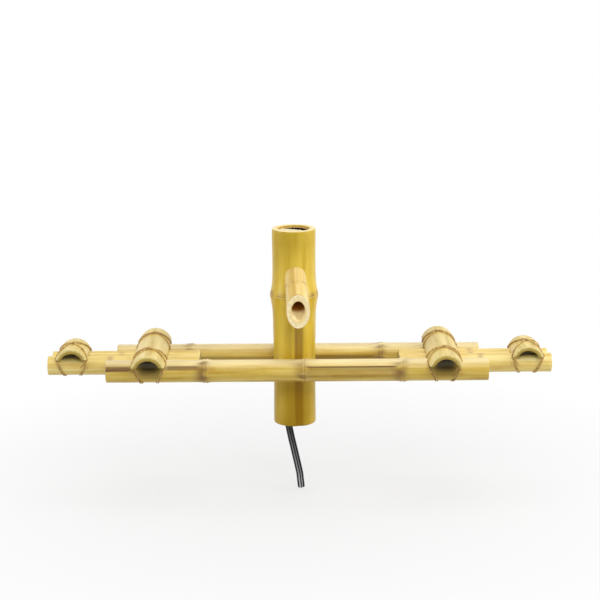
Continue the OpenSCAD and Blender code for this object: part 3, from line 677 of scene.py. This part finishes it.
# %% Post sizes
POST_LOW, POST_HIGH = (corner[2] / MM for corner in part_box("post"))
POST_NODE_Z = 124
POST_R = 32
POST_WALL = 7.8
POST_BORE = POST_R - POST_WALL
POST_SWELL = 0.9
POST_RING = 4.6
POST_WEB = 5
TOP_WEB = POST_HIGH - 3.6
POST_STEPS = 128
SPOUT_Z = 180
SPOUT_SLOPE = 40
SPOUT_VEER = 4.5
SPOUT_PLACE = (Matrix.Translation((0, 0, SPOUT_Z * MM))
               @ Matrix.Rotation(radians(SPOUT_VEER), 4, "Z")
               @ Matrix.Rotation(radians(90 + SPOUT_SLOPE), 4, "X"))
SEAT_R = 13.4      # inside the spout's wall, so that the joint is hidden
POST_LEVELS = [(POST_LOW, 0.4), (POST_LOW + 20, 0.4), (POST_LOW + 50, 0), (42, 0),
               (POST_NODE_Z - 64, POST_SWELL * 0.6), (POST_NODE_Z - 39, POST_SWELL),
               (POST_HIGH - 40, POST_SWELL), (POST_HIGH - 14, POST_SWELL * 1.5),
               (POST_HIGH, POST_SWELL * 1.2)]
POST_NODE_SHAPE = [(-39, 0), (-26, 0.08), (-19, 0.22), (-13, 0.43), (-6, 0.67), (-2.4, 0.86),
                   (-0.4, 0.92), (0.8, 0.9), (1.6, 0.76), (2.3, 0.78), (3.4, 0.85), (6, 0.7),
                   (12, 0.4), (18, 0.22), (25, 0.1), (38, 0)]
POST_SCAR = 1.7
BREAK_FROM, BREAK_TO = radians(-38), radians(134)
BREAK_OUTER = 23.0
BREAK_WIDTH = 16
BREAK_ROUGH = 3.4
LEAST_BREAK = 1.3

POST_CULM = POST_R, POST_LEVELS
post_radius = culm_radius(*POST_CULM, POST_RING, POST_NODE_SHAPE, [POST_NODE_Z])
post_bed_radius = culm_radius(*POST_CULM, 0, POST_NODE_SHAPE, [POST_NODE_Z])     # no ring

# %% Post section
def web_rings(z):
    """A diaphragm's face, in rings about a millimetre apart so that it can break raggedly."""
    return [(POST_BORE * k / 20, z) for k in range(20)]


def post_outline():
    bore, low, high, rim = POST_BORE, POST_LOW, POST_HIGH, post_radius(POST_HIGH)
    near_node = [d for d, _ in POST_NODE_SHAPE] + [d / 2 for d in range(-8, 9)]
    fine = [POST_NODE_Z + d for d in near_node]
    skin = [(post_radius(t), t) for t in stations(low + 2.2, high - EASE, 3, fine)]
    floor = POST_NODE_Z - POST_WEB / 2
    return ([(0, floor), (bore * 0.5, floor), (bore - 1.5, floor), (bore, floor - 1.5)]
            + [(bore, floor - (floor - low) * k) for k in (0.2, 0.4, 0.6, 0.8, 0.95)]
            + [(bore, low), (bore + 2.5, low), (POST_R - 1.2, low), (POST_R - 0.2, low + 0.6)]
            + skin + [(rim - EASE * 0.3, high - EASE * 0.3), (rim - EASE, high), (bore + 3, high),
                      (bore + 0.5, high), (bore, high - 0.5), (bore, TOP_WEB)]
            + web_rings(TOP_WEB)[::-1])


def post_cavity():
    low, high = POST_NODE_Z + POST_WEB / 2, TOP_WEB - POST_WEB
    wall = [(POST_BORE, t) for t in stations(low, high, 2.5)]
    return [(0, low), (POST_BORE * 0.5, low)] + wall + web_rings(high)[::-1]


def open_and_bridge(bm, chosen):
    """Deletes the chosen faces, which lie in two patches, and joins the patches' edges."""
    inner = set(chosen)
    rim = [e for e in bm.edges if sum(f in inner for f in e.link_faces) == 1]
    bmesh.ops.delete(bm, geom=list(inner), context="FACES_ONLY")
    wall = bmesh.ops.bridge_loops(bm, edges=rim)["faces"]
    for loose, context in ((bm.edges, "EDGES"), (bm.verts, "VERTS")):
        bmesh.ops.delete(bm, geom=[e for e in loose if not e.link_faces], context=context)
    return wall


# %% [markdown]
# The pith of the diaphragm is pale and crumbly, and is the only part of the culm that
# breaks like cork. Below the break, the inside of the post is painted dark as painted
# shade, and the skin is painted darker below the node, towards the top and on its front,
# also as painted shade. The pith, and later the wires, brads, rubber and dowel, have one
# plain mottle each, so one function makes them.

# %% Post finish
POST_CLOUD = 0.22
# How much painted shade the post's skin gets along its height
POST_SHADE_LEVELS = [(POST_LOW, 1.0), (-20, 0.9), (12, 0.35), (38, 0.0), (POST_HIGH - 60, 0.1),
             (POST_HIGH - 20, 0.45), (POST_HIGH, 0.35)]


def post_painted_shade(t, theta, r):
    """Painted shade: the skin is darker below the node, towards the top and on its front; the
    hollow is painted dark inside.
    """
    if r < POST_BORE + SKIN_OUT_MM:
        return 1 if t < TOP_WEB - 1 else 0
    cloud = noise.noise(Vector((cos(theta), sin(theta), t * 0.02 + 4)))
    facing = 0.2 + 0.8 * max(0, -sin(theta)) ** 2
    return clamp(table_value(POST_SHADE_LEVELS, t) * facing + POST_CLOUD * cloud)


def mottled(name, grain_mm, detail, tones, roughness, bump, fibres=None, **words):
    """A material whose colour, and roughness where it is a list of stops, follow a noise.
    Fibres draw the noise out: they give the way it runs, its length in mm and a shift."""
    material, tree = new_material(name)
    if fibres:
        place, scale = stretched(tree, fibres[0], grain_mm, *fibres[1:]), 1.0
    else:
        place, scale = add(tree, "TexCoord"), 1 / (grain_mm * MM)
    grain = add(tree, "TexNoise", Vector=place, Scale=scale, Detail=detail)
    tone = add(tree, "ValToRGB", tones, Fac=grain)
    if isinstance(roughness, list):
        roughness = add(tree, "ValToRGB", roughness, Fac=grain)
    return surfaced(material, tone, roughness, grain, *bump, **words)


# Painted shade darkens the post's skin towards the last colour given here
POST_SKIN = bamboo_skin("varnished_post_skin", ALONG_Z, ("#C7A41F", "#D6B42E", "#E6C84A"),
                        "#7C4E28", "#8C6200", 9.2, shade_colour="#A5821A", streak_mm=11, line=0.95)
# The post's inner wall is painted near black below its top diaphragm, as painted shade
INNER_Z = inner_wall("papery_inner_wall_upright", ALONG_Z, "#D9B45E", "#A97E30", 5.0,
                     shade_colour="#241607")
SAWN_RIM = end_grain("sawn_post_rim", ("#E9D28E", "#F3DFA6", "#F8E6B2"), 1.0)
PITH = mottled("crumbled_bamboo_pith", 1.6, 4.0, [(0.3, "#D9C08A"), (0.6, "#F0E2BC")], 0.85,
               (0.7, 0.6))


# %% Post
def post_break(centre):
    """Whether a point of the top diaphragm lies in the broken crescent."""
    theta, r = atan2(centre.y, centre.x), hypot(*centre.xy) / MM
    run = (theta - BREAK_FROM) / (BREAK_TO - BREAK_FROM)
    if not 0 < run < 1:
        return False
    rough = (noise.noise(Vector((theta * 3.1, 0.3, 0)))
             + 0.6 * noise.noise(Vector((theta * 9, 1, 0))))
    width = BREAK_WIDTH * sin(pi * run ** 1.25) ** 0.7 + BREAK_ROUGH * rough
    return BREAK_OUTER - max(width, LEAST_BREAK) < r < BREAK_OUTER


def faces_with_middles(bm):
    middles = [(f, f.calc_center_median()) for f in bm.faces]
    return [(f, middle, hypot(*middle.xy) / MM) for f, middle in middles]


def build_post():
    bm = spin_chain(post_outline(), POST_STEPS)
    cavity = spin_chain(post_cavity(), POST_STEPS)
    sealed = bpy.data.meshes.new("sealed_hollow")
    cavity.to_mesh(sealed)
    cavity.free()
    bm.from_mesh(sealed)
    bpy.data.meshes.remove(sealed)
    groove = Groove(POST_LOW - 12, POST_NODE_Z - 5, 282, 15, 1.7, 0.85, -0.1)
    finish_culm(bm, POST_BORE, post_bed_radius, (POST_LOW, POST_HIGH), [POST_NODE_Z], [groove],
                seed=1.7, stain_mm=4.5, stain_at=0.7, shade_of=post_painted_shade, scar_at=POST_SCAR,
                scar_depth=0.6)
    to_spout = SPOUT_PLACE.inverted()
    seat = []
    for f, middle, r in faces_with_middles(bm):
        inward = to_spout @ middle
        if inward.z > 0 and hypot(*inward.xy) < SEAT_R * MM and r > POST_BORE - 2:
            seat.append(f)
    wall = open_and_bridge(bm, seat)
    for f in wall:
        f.material_index = INSIDE
    web_low = (TOP_WEB - POST_WEB - 0.3) * MM
    webs = [f for f, middle, r in faces_with_middles(bm)
            if middle.z > web_low and abs(f.normal.z) > SQUARE_ON and r < POST_BORE]
    torn = open_and_bridge(bm, [f for f in webs if post_break(f.calc_center_median())])
    # The torn edge of the break is painted fully dark, as painted shade
    painted_shade = bm.verts.layers.float["painted_shade"]
    for f in torn:
        f.material_index, f.smooth = INSIDE, False
        for v in f.verts:
            v[painted_shade] = 1
    for f in webs:
        if f.is_valid:
            f.material_index, f.smooth = CRUMBLED, False
    bmesh.ops.recalc_face_normals(bm, faces=bm.faces)
    print(f"spout seat: {len(wall)} faces, torn edge: {len(torn)} faces")
    return to_piece("post_culm", bm, (POST_SKIN, SAWN_RIM, INNER_Z, PITH), "stand",
                    "bamboo_post", "post")


build_post()

# %% [markdown]
# ## The spout
# The spout is a thin culm let into the post and sawn off almost upright, so that its end
# is a long oval. It is spun as one closed ring of wall, and its outer part is then
# sheared: each vertex slides along the tube until the square end lies in the saw's plane.
# Shearing keeps every face, where a cut would have to be closed again by hand.

# %% Spout
SPOUT_R = 16.2
SPOUT_FLARE = 1.6
SPOUT_BORE = 10.5
SPOUT_REACH = 101
SPOUT_ROOT = 18.5
SPOUT_NODE = 57
SPOUT_RING = 0.7
SHEAR_FROM = 67
MOUTH_TILT = radians(SPOUT_SLOPE + 6.5)
SPOUT_RING_SHAPE = [(-6, 0), (-3, 0.3), (-1.2, 0.9), (0, 0.3), (1.4, 1.0), (4, 0.4), (8, 0)]
SPOUT_SWELL = [(SPOUT_NODE, 0), (SPOUT_NODE + 8, SPOUT_FLARE * 0.4), (SPOUT_REACH, SPOUT_FLARE)]
spout_radius = culm_radius(SPOUT_R, SPOUT_SWELL, SPOUT_RING, SPOUT_RING_SHAPE, [SPOUT_NODE])
ALONG_SPOUT = (radians(90 + SPOUT_SLOPE), 0, radians(SPOUT_VEER))
SPOUT_SKIN = bamboo_skin("varnished_spout_skin", ALONG_SPOUT, ("#CDA850", "#E2C26C", "#F0D894"),
                         "#A5754C", "#94703F", 3.9, streak_mm=8)
# The last colour given is the painted shade deep in the bore
INNER_SPOUT = inner_wall("papery_inner_wall_of_spout", ALONG_SPOUT, "#FBE8B2", "#F0D088", 8.0,
                         shade_colour="#A8640A")
PALE_FLOOR_MM = 16      # the light end of the bore, before it darkens
SAWN_MOUTH = end_grain("sawn_spout_mouth", ("#EFD799", "#F3DDA2", "#F7E5B4"), 2.0)


def build_spout():
    near_node = [SPOUT_NODE + d / 2 for d in range(-12, 17)]
    along = stations(SPOUT_ROOT + EASE, SPOUT_REACH - EASE, 2.5, near_node)
    mouth_r = spout_radius(SPOUT_REACH)
    chain = ([(SPOUT_BORE, SPOUT_ROOT), (SPOUT_R - EASE, SPOUT_ROOT)]
             + [(spout_radius(t), t) for t in along]
             + [(mouth_r - 0.2, SPOUT_REACH - 0.2), (mouth_r - 0.5, SPOUT_REACH)]
             + [(SPOUT_BORE + (mouth_r - SPOUT_BORE) * k, SPOUT_REACH) for k in (0.6, 0.3, 0.05)]
             + [(SPOUT_BORE, SPOUT_REACH - 0.3)] + [(SPOUT_BORE, t) for t in along[::-1]]
             + [(SPOUT_BORE, SPOUT_ROOT)])
    bm = spin_chain(chain, POLE_STEPS)
    finish_culm(bm, SPOUT_BORE, spout_radius, (SPOUT_ROOT, SPOUT_REACH), [SPOUT_NODE],
                seed=5.2, stain_mm=2.6, stain_depth=0.55)
    painted_shade = bm.verts.layers.float["painted_shade"]
    lip = SPOUT_REACH + SPOUT_BORE * tan(MOUTH_TILT)
    for v in bm.verts:
        t = v.co.z / MM
        if t > SHEAR_FROM:
            end = SPOUT_REACH - v.co.y / MM * tan(MOUTH_TILT)
            v.co.z = (SHEAR_FROM + (t - SHEAR_FROM) * (end - SHEAR_FROM)
                      / (SPOUT_REACH - SHEAR_FROM)) * MM
        # Painted shade: beyond its pale end near the mouth, the bore is painted dark
        if hypot(*v.co.xy) < (SPOUT_BORE + 0.2) * MM:
            v[painted_shade] = clamp((lip - v.co.z / MM - PALE_FLOOR_MM) / 6)
    bmesh.ops.recalc_face_normals(bm, faces=bm.faces)
    bm.transform(SPOUT_PLACE)
    return to_piece("spout_culm", bm, (SPOUT_SKIN, SAWN_MOUTH, INNER_SPOUT), "stand",
                    "bamboo_spout", "spout")


build_spout()

# %% [markdown]
# ## The split-bamboo saddles
# Each saddle is a length of thick culm split in two, laid hollow side down across the
# poles. Its section along y, a thin closed loop, is spun through most of a half turn. A
# split culm rests on two flat edges, so each vertex's angle is then set by its radius,
# which brings both edges into one level plane, and the skin's edge is bridged to the
# hollow's edge. The maker notched the edges over the poles: there the vertices are
# raised to the pole's surface.

# %% Saddles
POLE_FIT = 0.05
SADDLE_STEP = 1.5
SPLIT_STEPS = 48
SADDLE_SKIN = bamboo_skin("varnished_saddle_skin", ALONG_Y, ("#C6A548", "#DBC064", "#EAD386"),
                          "#A5845A", "#94703F", 7.7, streak_mm=8, line=0.94)
SAWN_SADDLE = end_grain("sawn_saddle_end", ("#A08634", "#C4AA4C", "#EEDC98"), 3.0,
                        bands=(0.4, 0.8, 0.98))
# The hollow under a saddle is painted near black, as painted shade under the overhang
SHADED_SPLIT_HOLLOW = inner_wall("painted_shade_in_split_culm_hollow", ALONG_Y, "#33270C", "#1C1404", 6.0)


class Saddle:
    """A split culm: its middle, width, rise, wall, ends along y, edge height and poles."""

    def __init__(self, x, width, rise, wall, front, back, edge_z, pole_y, pole_z, pole_r):
        self.x, self.wall, self.front, self.back, self.edge_z = x, wall, front, back, edge_z
        self.pole_y, self.pole_z, self.pole_r = pole_y, pole_z, pole_r
        self.r = (width * width / 4 + rise * rise) / (2 * rise)
        self.axis_z = edge_z + rise - self.r

    def edge_angle(self, radius):
        return acos((self.edge_z - self.axis_z) / radius)


INNER = (50, 18.5, 7.8, -91, 87.5, 33, ARM_Y, ARM_R, ARM_R)
OUTER = (47.5, 17.2, 7.6, -34.6, 34.6, 31.5, SLIDER_Y, SLIDER_Z, SLIDER_R)
SADDLES = {"left_inner_saddle": Saddle(SADDLES_ON_ARMS[0], *INNER),
           "right_inner_saddle": Saddle(SADDLES_ON_ARMS[1], *INNER),
           "left_outer_saddle": Saddle(-340.8, *OUTER), "right_outer_saddle": Saddle(356.8, *OUTER)}


def saddle_loop(bm, saddle):
    """The closed section: out along the skin and back along the hollow."""
    inner = saddle.r - saddle.wall
    places = stations(saddle.front + EASE, saddle.back - EASE, SADDLE_STEP)
    skin = eased(saddle.r, saddle.front, saddle.back, [(saddle.r, y) for y in places])
    hollow = [(inner, y) for _, y in skin]
    lean = saddle.edge_angle(saddle.r)
    verts = [[bm.verts.new((-r * sin(lean) * MM, y * MM, r * cos(lean) * MM))
              for r, y in line] for line in (skin, hollow)]
    edges = [bm.edges.new(pair) for line in verts for pair in zip(line, line[1:])]
    ends = [bm.edges.new((verts[0][i], verts[1][i])) for i in (0, -1)]
    return verts[0] + verts[1], edges, ends, lean


def build_saddle(name, saddle, seed):
    bm = bmesh.new()
    depth = bm.verts.layers.float.new("depth")
    verts, edges, ends, lean = saddle_loop(bm, saddle)
    spun = bmesh.ops.spin(bm, geom=verts + edges + ends, cent=(0, 0, 0), axis=(0, 1, 0),
                          angle=2 * lean, steps=SPLIT_STEPS, use_duplicate=False)
    last = [e for e in spun["geom_last"] if isinstance(e, bmesh.types.BMEdge)
            and abs(e.verts[0].co.y - e.verts[1].co.y) > 1e-6]
    for rim in (edges, last):
        bmesh.ops.bridge_loops(bm, edges=rim)
    for v in bm.verts:
        x, y, z = (c / MM for c in v.co)
        r = hypot(x, z)
        angle = atan2(x, z) / lean * saddle.edge_angle(r)
        v[depth] = clamp((r - saddle.r + saddle.wall) / saddle.wall)
        r += FAULT_MM * noise.noise(Vector((angle * 1.5, y * 0.02, seed))) * v[depth]
        x, z = saddle.x + r * sin(angle), saddle.axis_z + r * cos(angle)
        off_pole = abs(abs(y) - saddle.pole_y)
        if off_pole < saddle.pole_r:
            z = max(z, saddle.pole_z + sqrt((saddle.pole_r + POLE_FIT) ** 2 - off_pole ** 2))
        v.co = Vector((x, y, z)) * MM
    bmesh.ops.recalc_face_normals(bm, faces=bm.faces)
    for f in bm.faces:
        y = f.calc_center_median().y / MM
        at_end = min(abs(y - saddle.front), abs(y - saddle.back)) < 0.4
        sawn = abs(f.normal.y) > SQUARE_ON and at_end
        at_hollow = all(v[depth] < 0.1 for v in f.verts)
        split = len({round(v[depth]) for v in f.verts}) > 1
        f.material_index = INSIDE if at_hollow else SAWN if sawn or split else SKIN
        f.smooth = not (sawn or split)
    body = "stand" if "inner" in name else name.split("_")[0] + "_extension"
    return to_piece(name + "_split_culm", bm, (SADDLE_SKIN, SAWN_SADDLE, SHADED_SPLIT_HOLLOW), body,
                    "bamboo_saddle", name)


for seed, (name, saddle) in enumerate(SADDLES.items(), start=11):
    build_saddle(name, saddle, seed)

# %% [markdown]
# ## The wire lashings
# A lashing is one soft iron wire in a tan coat, doubled and twisted, which goes four
# times round a pole and the saddle on it, and crosses itself on top. Its middle line
# follows the construction's: slantwise over the saddle, down behind the pole, under it
# and up in front, with the slant changing sides each time. Each strand winds round that
# line, as a rope maker would lay it, and is a curve with a round bevel, which stays
# smooth however it turns.

# %% Path of a lashing
WIRE_GAP = 0.88        # the middle line's distance from the bamboo
WIRE_PITCH = 2.7
WIRE_HOP = 1.7
HOP_HALF = 0.3         # the share of the way from the middle to the edge that a hop takes
WIRE_FOOT = 11
LEG_OFF = 0.4
SLANT = 1.1
TURNS = 4
TOP_STEPS = 18
BELLY_STEPS = 12
TAIL_MM = 7


class Lash:
    """The cross-section that a wire goes round: a saddle on one pole or two."""

    def __init__(self, saddle, cross, half_gap):
        self.r, self.axis_z = saddle.r + WIRE_GAP, saddle.axis_z
        self.edge = saddle.edge_angle(saddle.r)
        self.cross, self.half_gap = cross, half_gap
        self.pole_r, self.pole_z = saddle.pole_r + WIRE_GAP, saddle.pole_z
        self.edge_z = self.axis_z + self.r * cos(self.edge)
        self.edge_x = self.r * sin(self.edge)
        dy, dz = cross - half_gap, self.edge_z - self.pole_z
        self.side = atan2(dz, dy) - acos(min(1, self.pole_r / hypot(dy, dz)))

    def leg_x(self, z):
        low = self.pole_z - self.pole_r
        return WIRE_FOOT + (self.edge_x - WIRE_FOOT) * (z - low) / (self.edge_z - low)

    def top(self, way, u, off, hop):
        a, r = u * self.edge, self.r + hop
        return (Vector((way * r * sin(a), u * self.cross + way * off * SLANT,
                        self.axis_z + r * cos(a))),
                Vector((way * sin(a), 0, cos(a))))

    def belly(self, way, a, off, side):
        z = self.pole_z + self.pole_r * sin(a)
        return (Vector((way * self.leg_x(z) - off,
                        side * self.half_gap + self.pole_r * cos(a), z)),
                Vector((0, cos(a), sin(a))))

    def leg(self, way, side, off):
        y = (self.cross + self.half_gap + self.pole_r * cos(self.side)) / 2 + LEG_OFF
        z = (self.edge_z + self.pole_z + self.pole_r * sin(self.side)) / 2
        off *= sqrt(0.5)     # the wire runs aslant here, so x and y share its offset
        return (Vector((way * self.leg_x(z) - off, side * (y + way * off * SLANT), z)),
                Vector((way * 0.5, side, 0.2)))

    def turn(self, way, off0, off1):
        middle = (off0 + off1) / 2
        for i in range(TOP_STEPS + 1):
            u = -1 + 2 * i / TOP_STEPS
            hop = WIRE_HOP * max(0, 1 - (u / HOP_HALF) ** 2) if way < 0 else 0
            yield self.top(way, u, off0 + (middle - off0) * i / TOP_STEPS, hop)
        yield self.leg(way, 1, middle)
        for half, side in enumerate((1, -1)):
            for i in range(0 if self.half_gap else half, BELLY_STEPS + 1):
                share = half + i / BELLY_STEPS
                yield self.belly(way, self.side - (pi / 2 + self.side) * share,
                                 middle + (off1 - middle) * share / 2, side)

    def stations(self):
        drift = WIRE_PITCH / 2
        front = -pi - self.side
        start, end = (self.belly(-1, front, side * 2 * drift, -1) for side in (-1, 1))

        def tail(foot, way):
            return [(foot + TAIL_MM * Vector((way * 0.2, -0.3, -0.15)), Vector((0, 0.1, 1))),
                    (foot + TAIL_MM * Vector((way * 0.5, -0.8, -0.3)), Vector((0, 0.3, 1)))]

        line = tail(start[0], 1)[::-1] + [start]
        for t in range(TURNS):
            way = 1 if t % 2 == 0 else -1
            line.append(self.leg(-way, -1, (t - 2) * drift))
            line += self.turn(way, (t - 2) * drift, (t - 1) * drift)
        return line + tail(end[0], -1)


# %% [markdown]
# One strand keeps its tan coat and the other is painted near black, as painted shade in
# the twist and along the wire, so that the twist shows as pale beads on a dark line. Each
# strand's colour follows a fine noise, and the valleys darken by themselves.

# %% Lashings
STRAND_R = 0.46
STRAND_OFF = 0.44
TWIST_MM = 6      # about twice as long as real, so that the twist shows
RING_MM = 0.5
MOTTLE_MM = 2.4
STRANDS = [mottled(name, MOTTLE_MM, 3.0, list(zip((0.34, 0.48, 0.62), tones)),
                   [(0.3, 0.35), (0.7, 0.55)], (0.3, 0.1), IOR=1.5)
           for name, tones in (("tan_coated_iron_wire", ("#8A6A30", "#C09A54", "#E4C67A")),
                               # The second strand's near-black colour is painted shade
                               ("dark_strand_painted_shade", ("#0A0602", "#120A03", "#2E1E0C")))]


def even_line(stations_of_wire):
    """The smooth middle line with its outward directions, in even short steps."""
    points = smooth_route([p for p, _ in stations_of_wire], 8)
    outward = smooth_route([n for _, n in stations_of_wire], 8)
    kept, since = [(points[0], outward[0], 0.0)], 0.0
    for before, point, out in zip(points, points[1:], outward[1:]):
        since += (point - before).length
        if since > RING_MM:
            kept.append((point, out, kept[-1][2] + since))
            since = 0.0
    return kept


def lay_strand(curve, line, place, phase, index):
    spline = curve.splines.new("POLY")
    spline.material_index = index
    spline.points.add(len(line) - 1)
    for i, (point, out, run) in enumerate(line):
        ahead = (line[min(i + 1, len(line) - 1)][0] - line[max(i - 1, 0)][0]).normalized()
        side = ahead.cross(out).normalized()
        angle = tau * run / TWIST_MM + phase
        off = (cos(angle) * side + sin(angle) * side.cross(ahead)) * STRAND_OFF
        spline.points[i].co = (*(place @ ((point + off) * MM)), 1)
    spline.use_smooth = True


def build_lashing(name, lash, x, y, flip, back):
    place = (Matrix.Translation((x * MM, y * MM, 0))
             @ Matrix.Rotation(pi if back else 0, 4, "Z")
             @ Matrix.Scale(-1 if flip else 1, 4, (1, 0, 0)))
    curve = bpy.data.curves.new(name + "_wire", "CURVE")
    curve.dimensions, curve.bevel_depth, curve.bevel_resolution = "3D", STRAND_R * MM, 1
    curve.use_fill_caps = True
    line = even_line(lash.stations())
    for index, material in enumerate(STRANDS):
        lay_strand(curve, line, place, index * pi, index)
        curve.materials.append(material)
    wire = link_object(name + "_wire", curve)
    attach(wire, name.split("_")[0] + "_extension" if "outer" in name else "stand")
    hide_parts(name)
    print(f"{name}: {line[-1][2]:.0f} mm of wire, {len(line)} steps")


INNER_LASH = Lash(SADDLES["left_inner_saddle"], 14, 0)
OUTER_LASH = Lash(SADDLES["left_outer_saddle"], 27.3, SLIDER_Y)
for side, flip in (("left", False), ("right", True)):
    x = SADDLES[side + "_inner_saddle"].x
    build_lashing(side + "_front_lashing", INNER_LASH, x, -ARM_Y, flip, False)
    build_lashing(side + "_back_lashing", INNER_LASH, x, ARM_Y, not flip, True)
    build_lashing(side + "_outer_lashing", OUTER_LASH, SADDLES[side + "_outer_saddle"].x, 0,
                  not flip, False)

# %% [markdown]
# ## The small hidden pieces
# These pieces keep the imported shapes, because a slat, a dowel and a nail are as simple as
# they look, and they only need their real finish. The slats under the sliding poles are
# split bamboo, planed flat, so they show matt fibre and no varnish. The dowel is turned
# beech, with fine short pores along it. The brads are bright drawn steel, gone dull where
# damp has reached them, and the grommet is moulded rubber with a dusty matt face.

# %% Dress the small pieces
PORE_MM = 0.8
DAMP_MM = 0.6
DUST_MM = 1.5
BEECH = mottled("turned_beech_dowel", PORE_MM, 3.0,
                [(0.32, "#8E6A3C"), (0.5, "#B08A58"), (0.7, "#C6A270")], 0.55, (0.3, 0.15),
                fibres=(ALONG_Y, 6, 1.0))
PLANED_SLAT = inner_wall("planed_split_bamboo", ALONG_Y, "#D3BC7C", "#B2954E", 12.0)
BRAD_STEEL = mottled("drawn_steel_brad", DAMP_MM, 3.0,
                     [(0.34, "#6E5238"), (0.48, "#9A9992"), (0.7, "#B4B4B0")],
                     [(0.35, 0.6), (0.6, 0.34)], (0.25, 0.05), Metallic=1.0)
RUBBER = mottled("moulded_black_rubber", DUST_MM, 4.0, [(0.4, "#151515"), (0.7, "#2C2B29")], 0.8,
                 (0.3, 0.1))
SMALL_FINISHES = {
    "left_keeper_slat": PLANED_SLAT, "right_keeper_slat": PLANED_SLAT,
    "left_keeper_brads": BRAD_STEEL, "right_keeper_brads": BRAD_STEEL,
    "cross_dowel": BEECH, "riser_grommet": RUBBER,
    "hose_riser": black_pvc(),
}
for name, finish in SMALL_FINISHES.items():
    for material_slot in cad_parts[name].material_slots:
        material_slot.material = finish
    print(f"{name}: {finish.name}")

# %% [markdown]
# ## Light, sky and floor
# Large soft boxes stand above and in front, and tall strip boxes at the sides, which draw
# the long highlights on the post. The sky lights the object at a plain level, but the
# camera, and gloss and glass, see it white. The floor is white paper a little below the
# hose; far from the object it turns to the sky's white, so that no edge shows.

# %% Lights
SOFT_BOXES = (("top_box", (0.2, 0.2, 2.5), 1.3, 1.3, 22),
              ("front_box", (0.5, -1.9, 1.8), 1.1, 1.1, 20),
              ("left_strip", (-2.3, -0.6, 0.7), 0.35, 1.5, 18),
              ("right_strip", (2.3, -0.6, 0.8), 0.35, 1.5, 26))     # metres and watts

for name, place, width, height, power in SOFT_BOXES:
    data = bpy.data.lights.new(name, "AREA")
    data.shape, data.size, data.size_y, data.energy = "RECTANGLE", width, height, power
    lamp = link_object(name, data)
    lamp.location = place
    lamp.rotation_euler = (-Vector(place)).to_track_quat("-Z", "Y").to_euler()
    print(f"{name}: {power} W")

# %% Sky
SKY_LIGHT = 0.4


def seen(tree):
    """1 where the camera, gloss or glass looks, and 0 where light is gathered."""
    path = add(tree, "LightPath")
    largest = (path, "Is Camera Ray")
    for ray in ("Is Glossy Ray", "Is Transmission Ray"):
        largest = add(tree, "Math", operation="MAXIMUM", i0=largest, i1=(path, ray))
    return largest


def pale_sky():
    world = bpy.data.worlds.new("pale_sky")
    bpy.context.scene.world = world
    world.use_nodes = True
    tree = world.node_tree
    tree.nodes.clear()
    light = add(tree, "Background", Color="#FFFFFF", Strength=SKY_LIGHT)
    white = add(tree, "Background", Color="#FFFFFF", Strength=1.0)
    both = add(tree, "MixShader", Fac=seen(tree), i1=light, i2=white)
    add(tree, "OutputWorld", Surface=both)
    print(f"the sky lights at {SKY_LIGHT} and looks white")


pale_sky()

# %% Floor
FLOOR_Z = cad_box[0].z - 0.004
FLOOR_HALF = 30     # metres, so far that its edge never shows


def white_floor():
    bm = bmesh.new()
    bmesh.ops.create_grid(bm, x_segments=1, y_segments=1, size=FLOOR_HALF)
    bm.transform(Matrix.Translation((0, 0, FLOOR_Z)))
    mesh = bpy.data.meshes.new("floor")
    bm.to_mesh(mesh)
    bm.free()
    floor = link_object("floor", mesh)
    material, tree = new_material("white_paper_floor")
    away = add(tree, "VectorMath", operation="LENGTH", i0=add(tree, "TexCoord"))
    fade = add(tree, "ValToRGB", [(0.25, 0.72), (0.75, 1.0)], Fac=(away, "Value"))
    glow_share = add(tree, "Math", operation="MULTIPLY", i0=fade, i1=seen(tree))
    paper = add(tree, "BsdfDiffuse", Color="#D2D2D2")
    glow = add(tree, "Emission", Color="#FFFFFF", Strength=1.0)
    both = add(tree, "MixShader", Fac=glow_share, i1=paper, i2=glow)
    add(tree, "OutputMaterial", Surface=both)
    mesh.materials.append(material)
    print(f"the floor lies at {FLOOR_Z:.3f} m")


white_floor()
bpy.context.scene.view_settings.view_transform = "Standard"
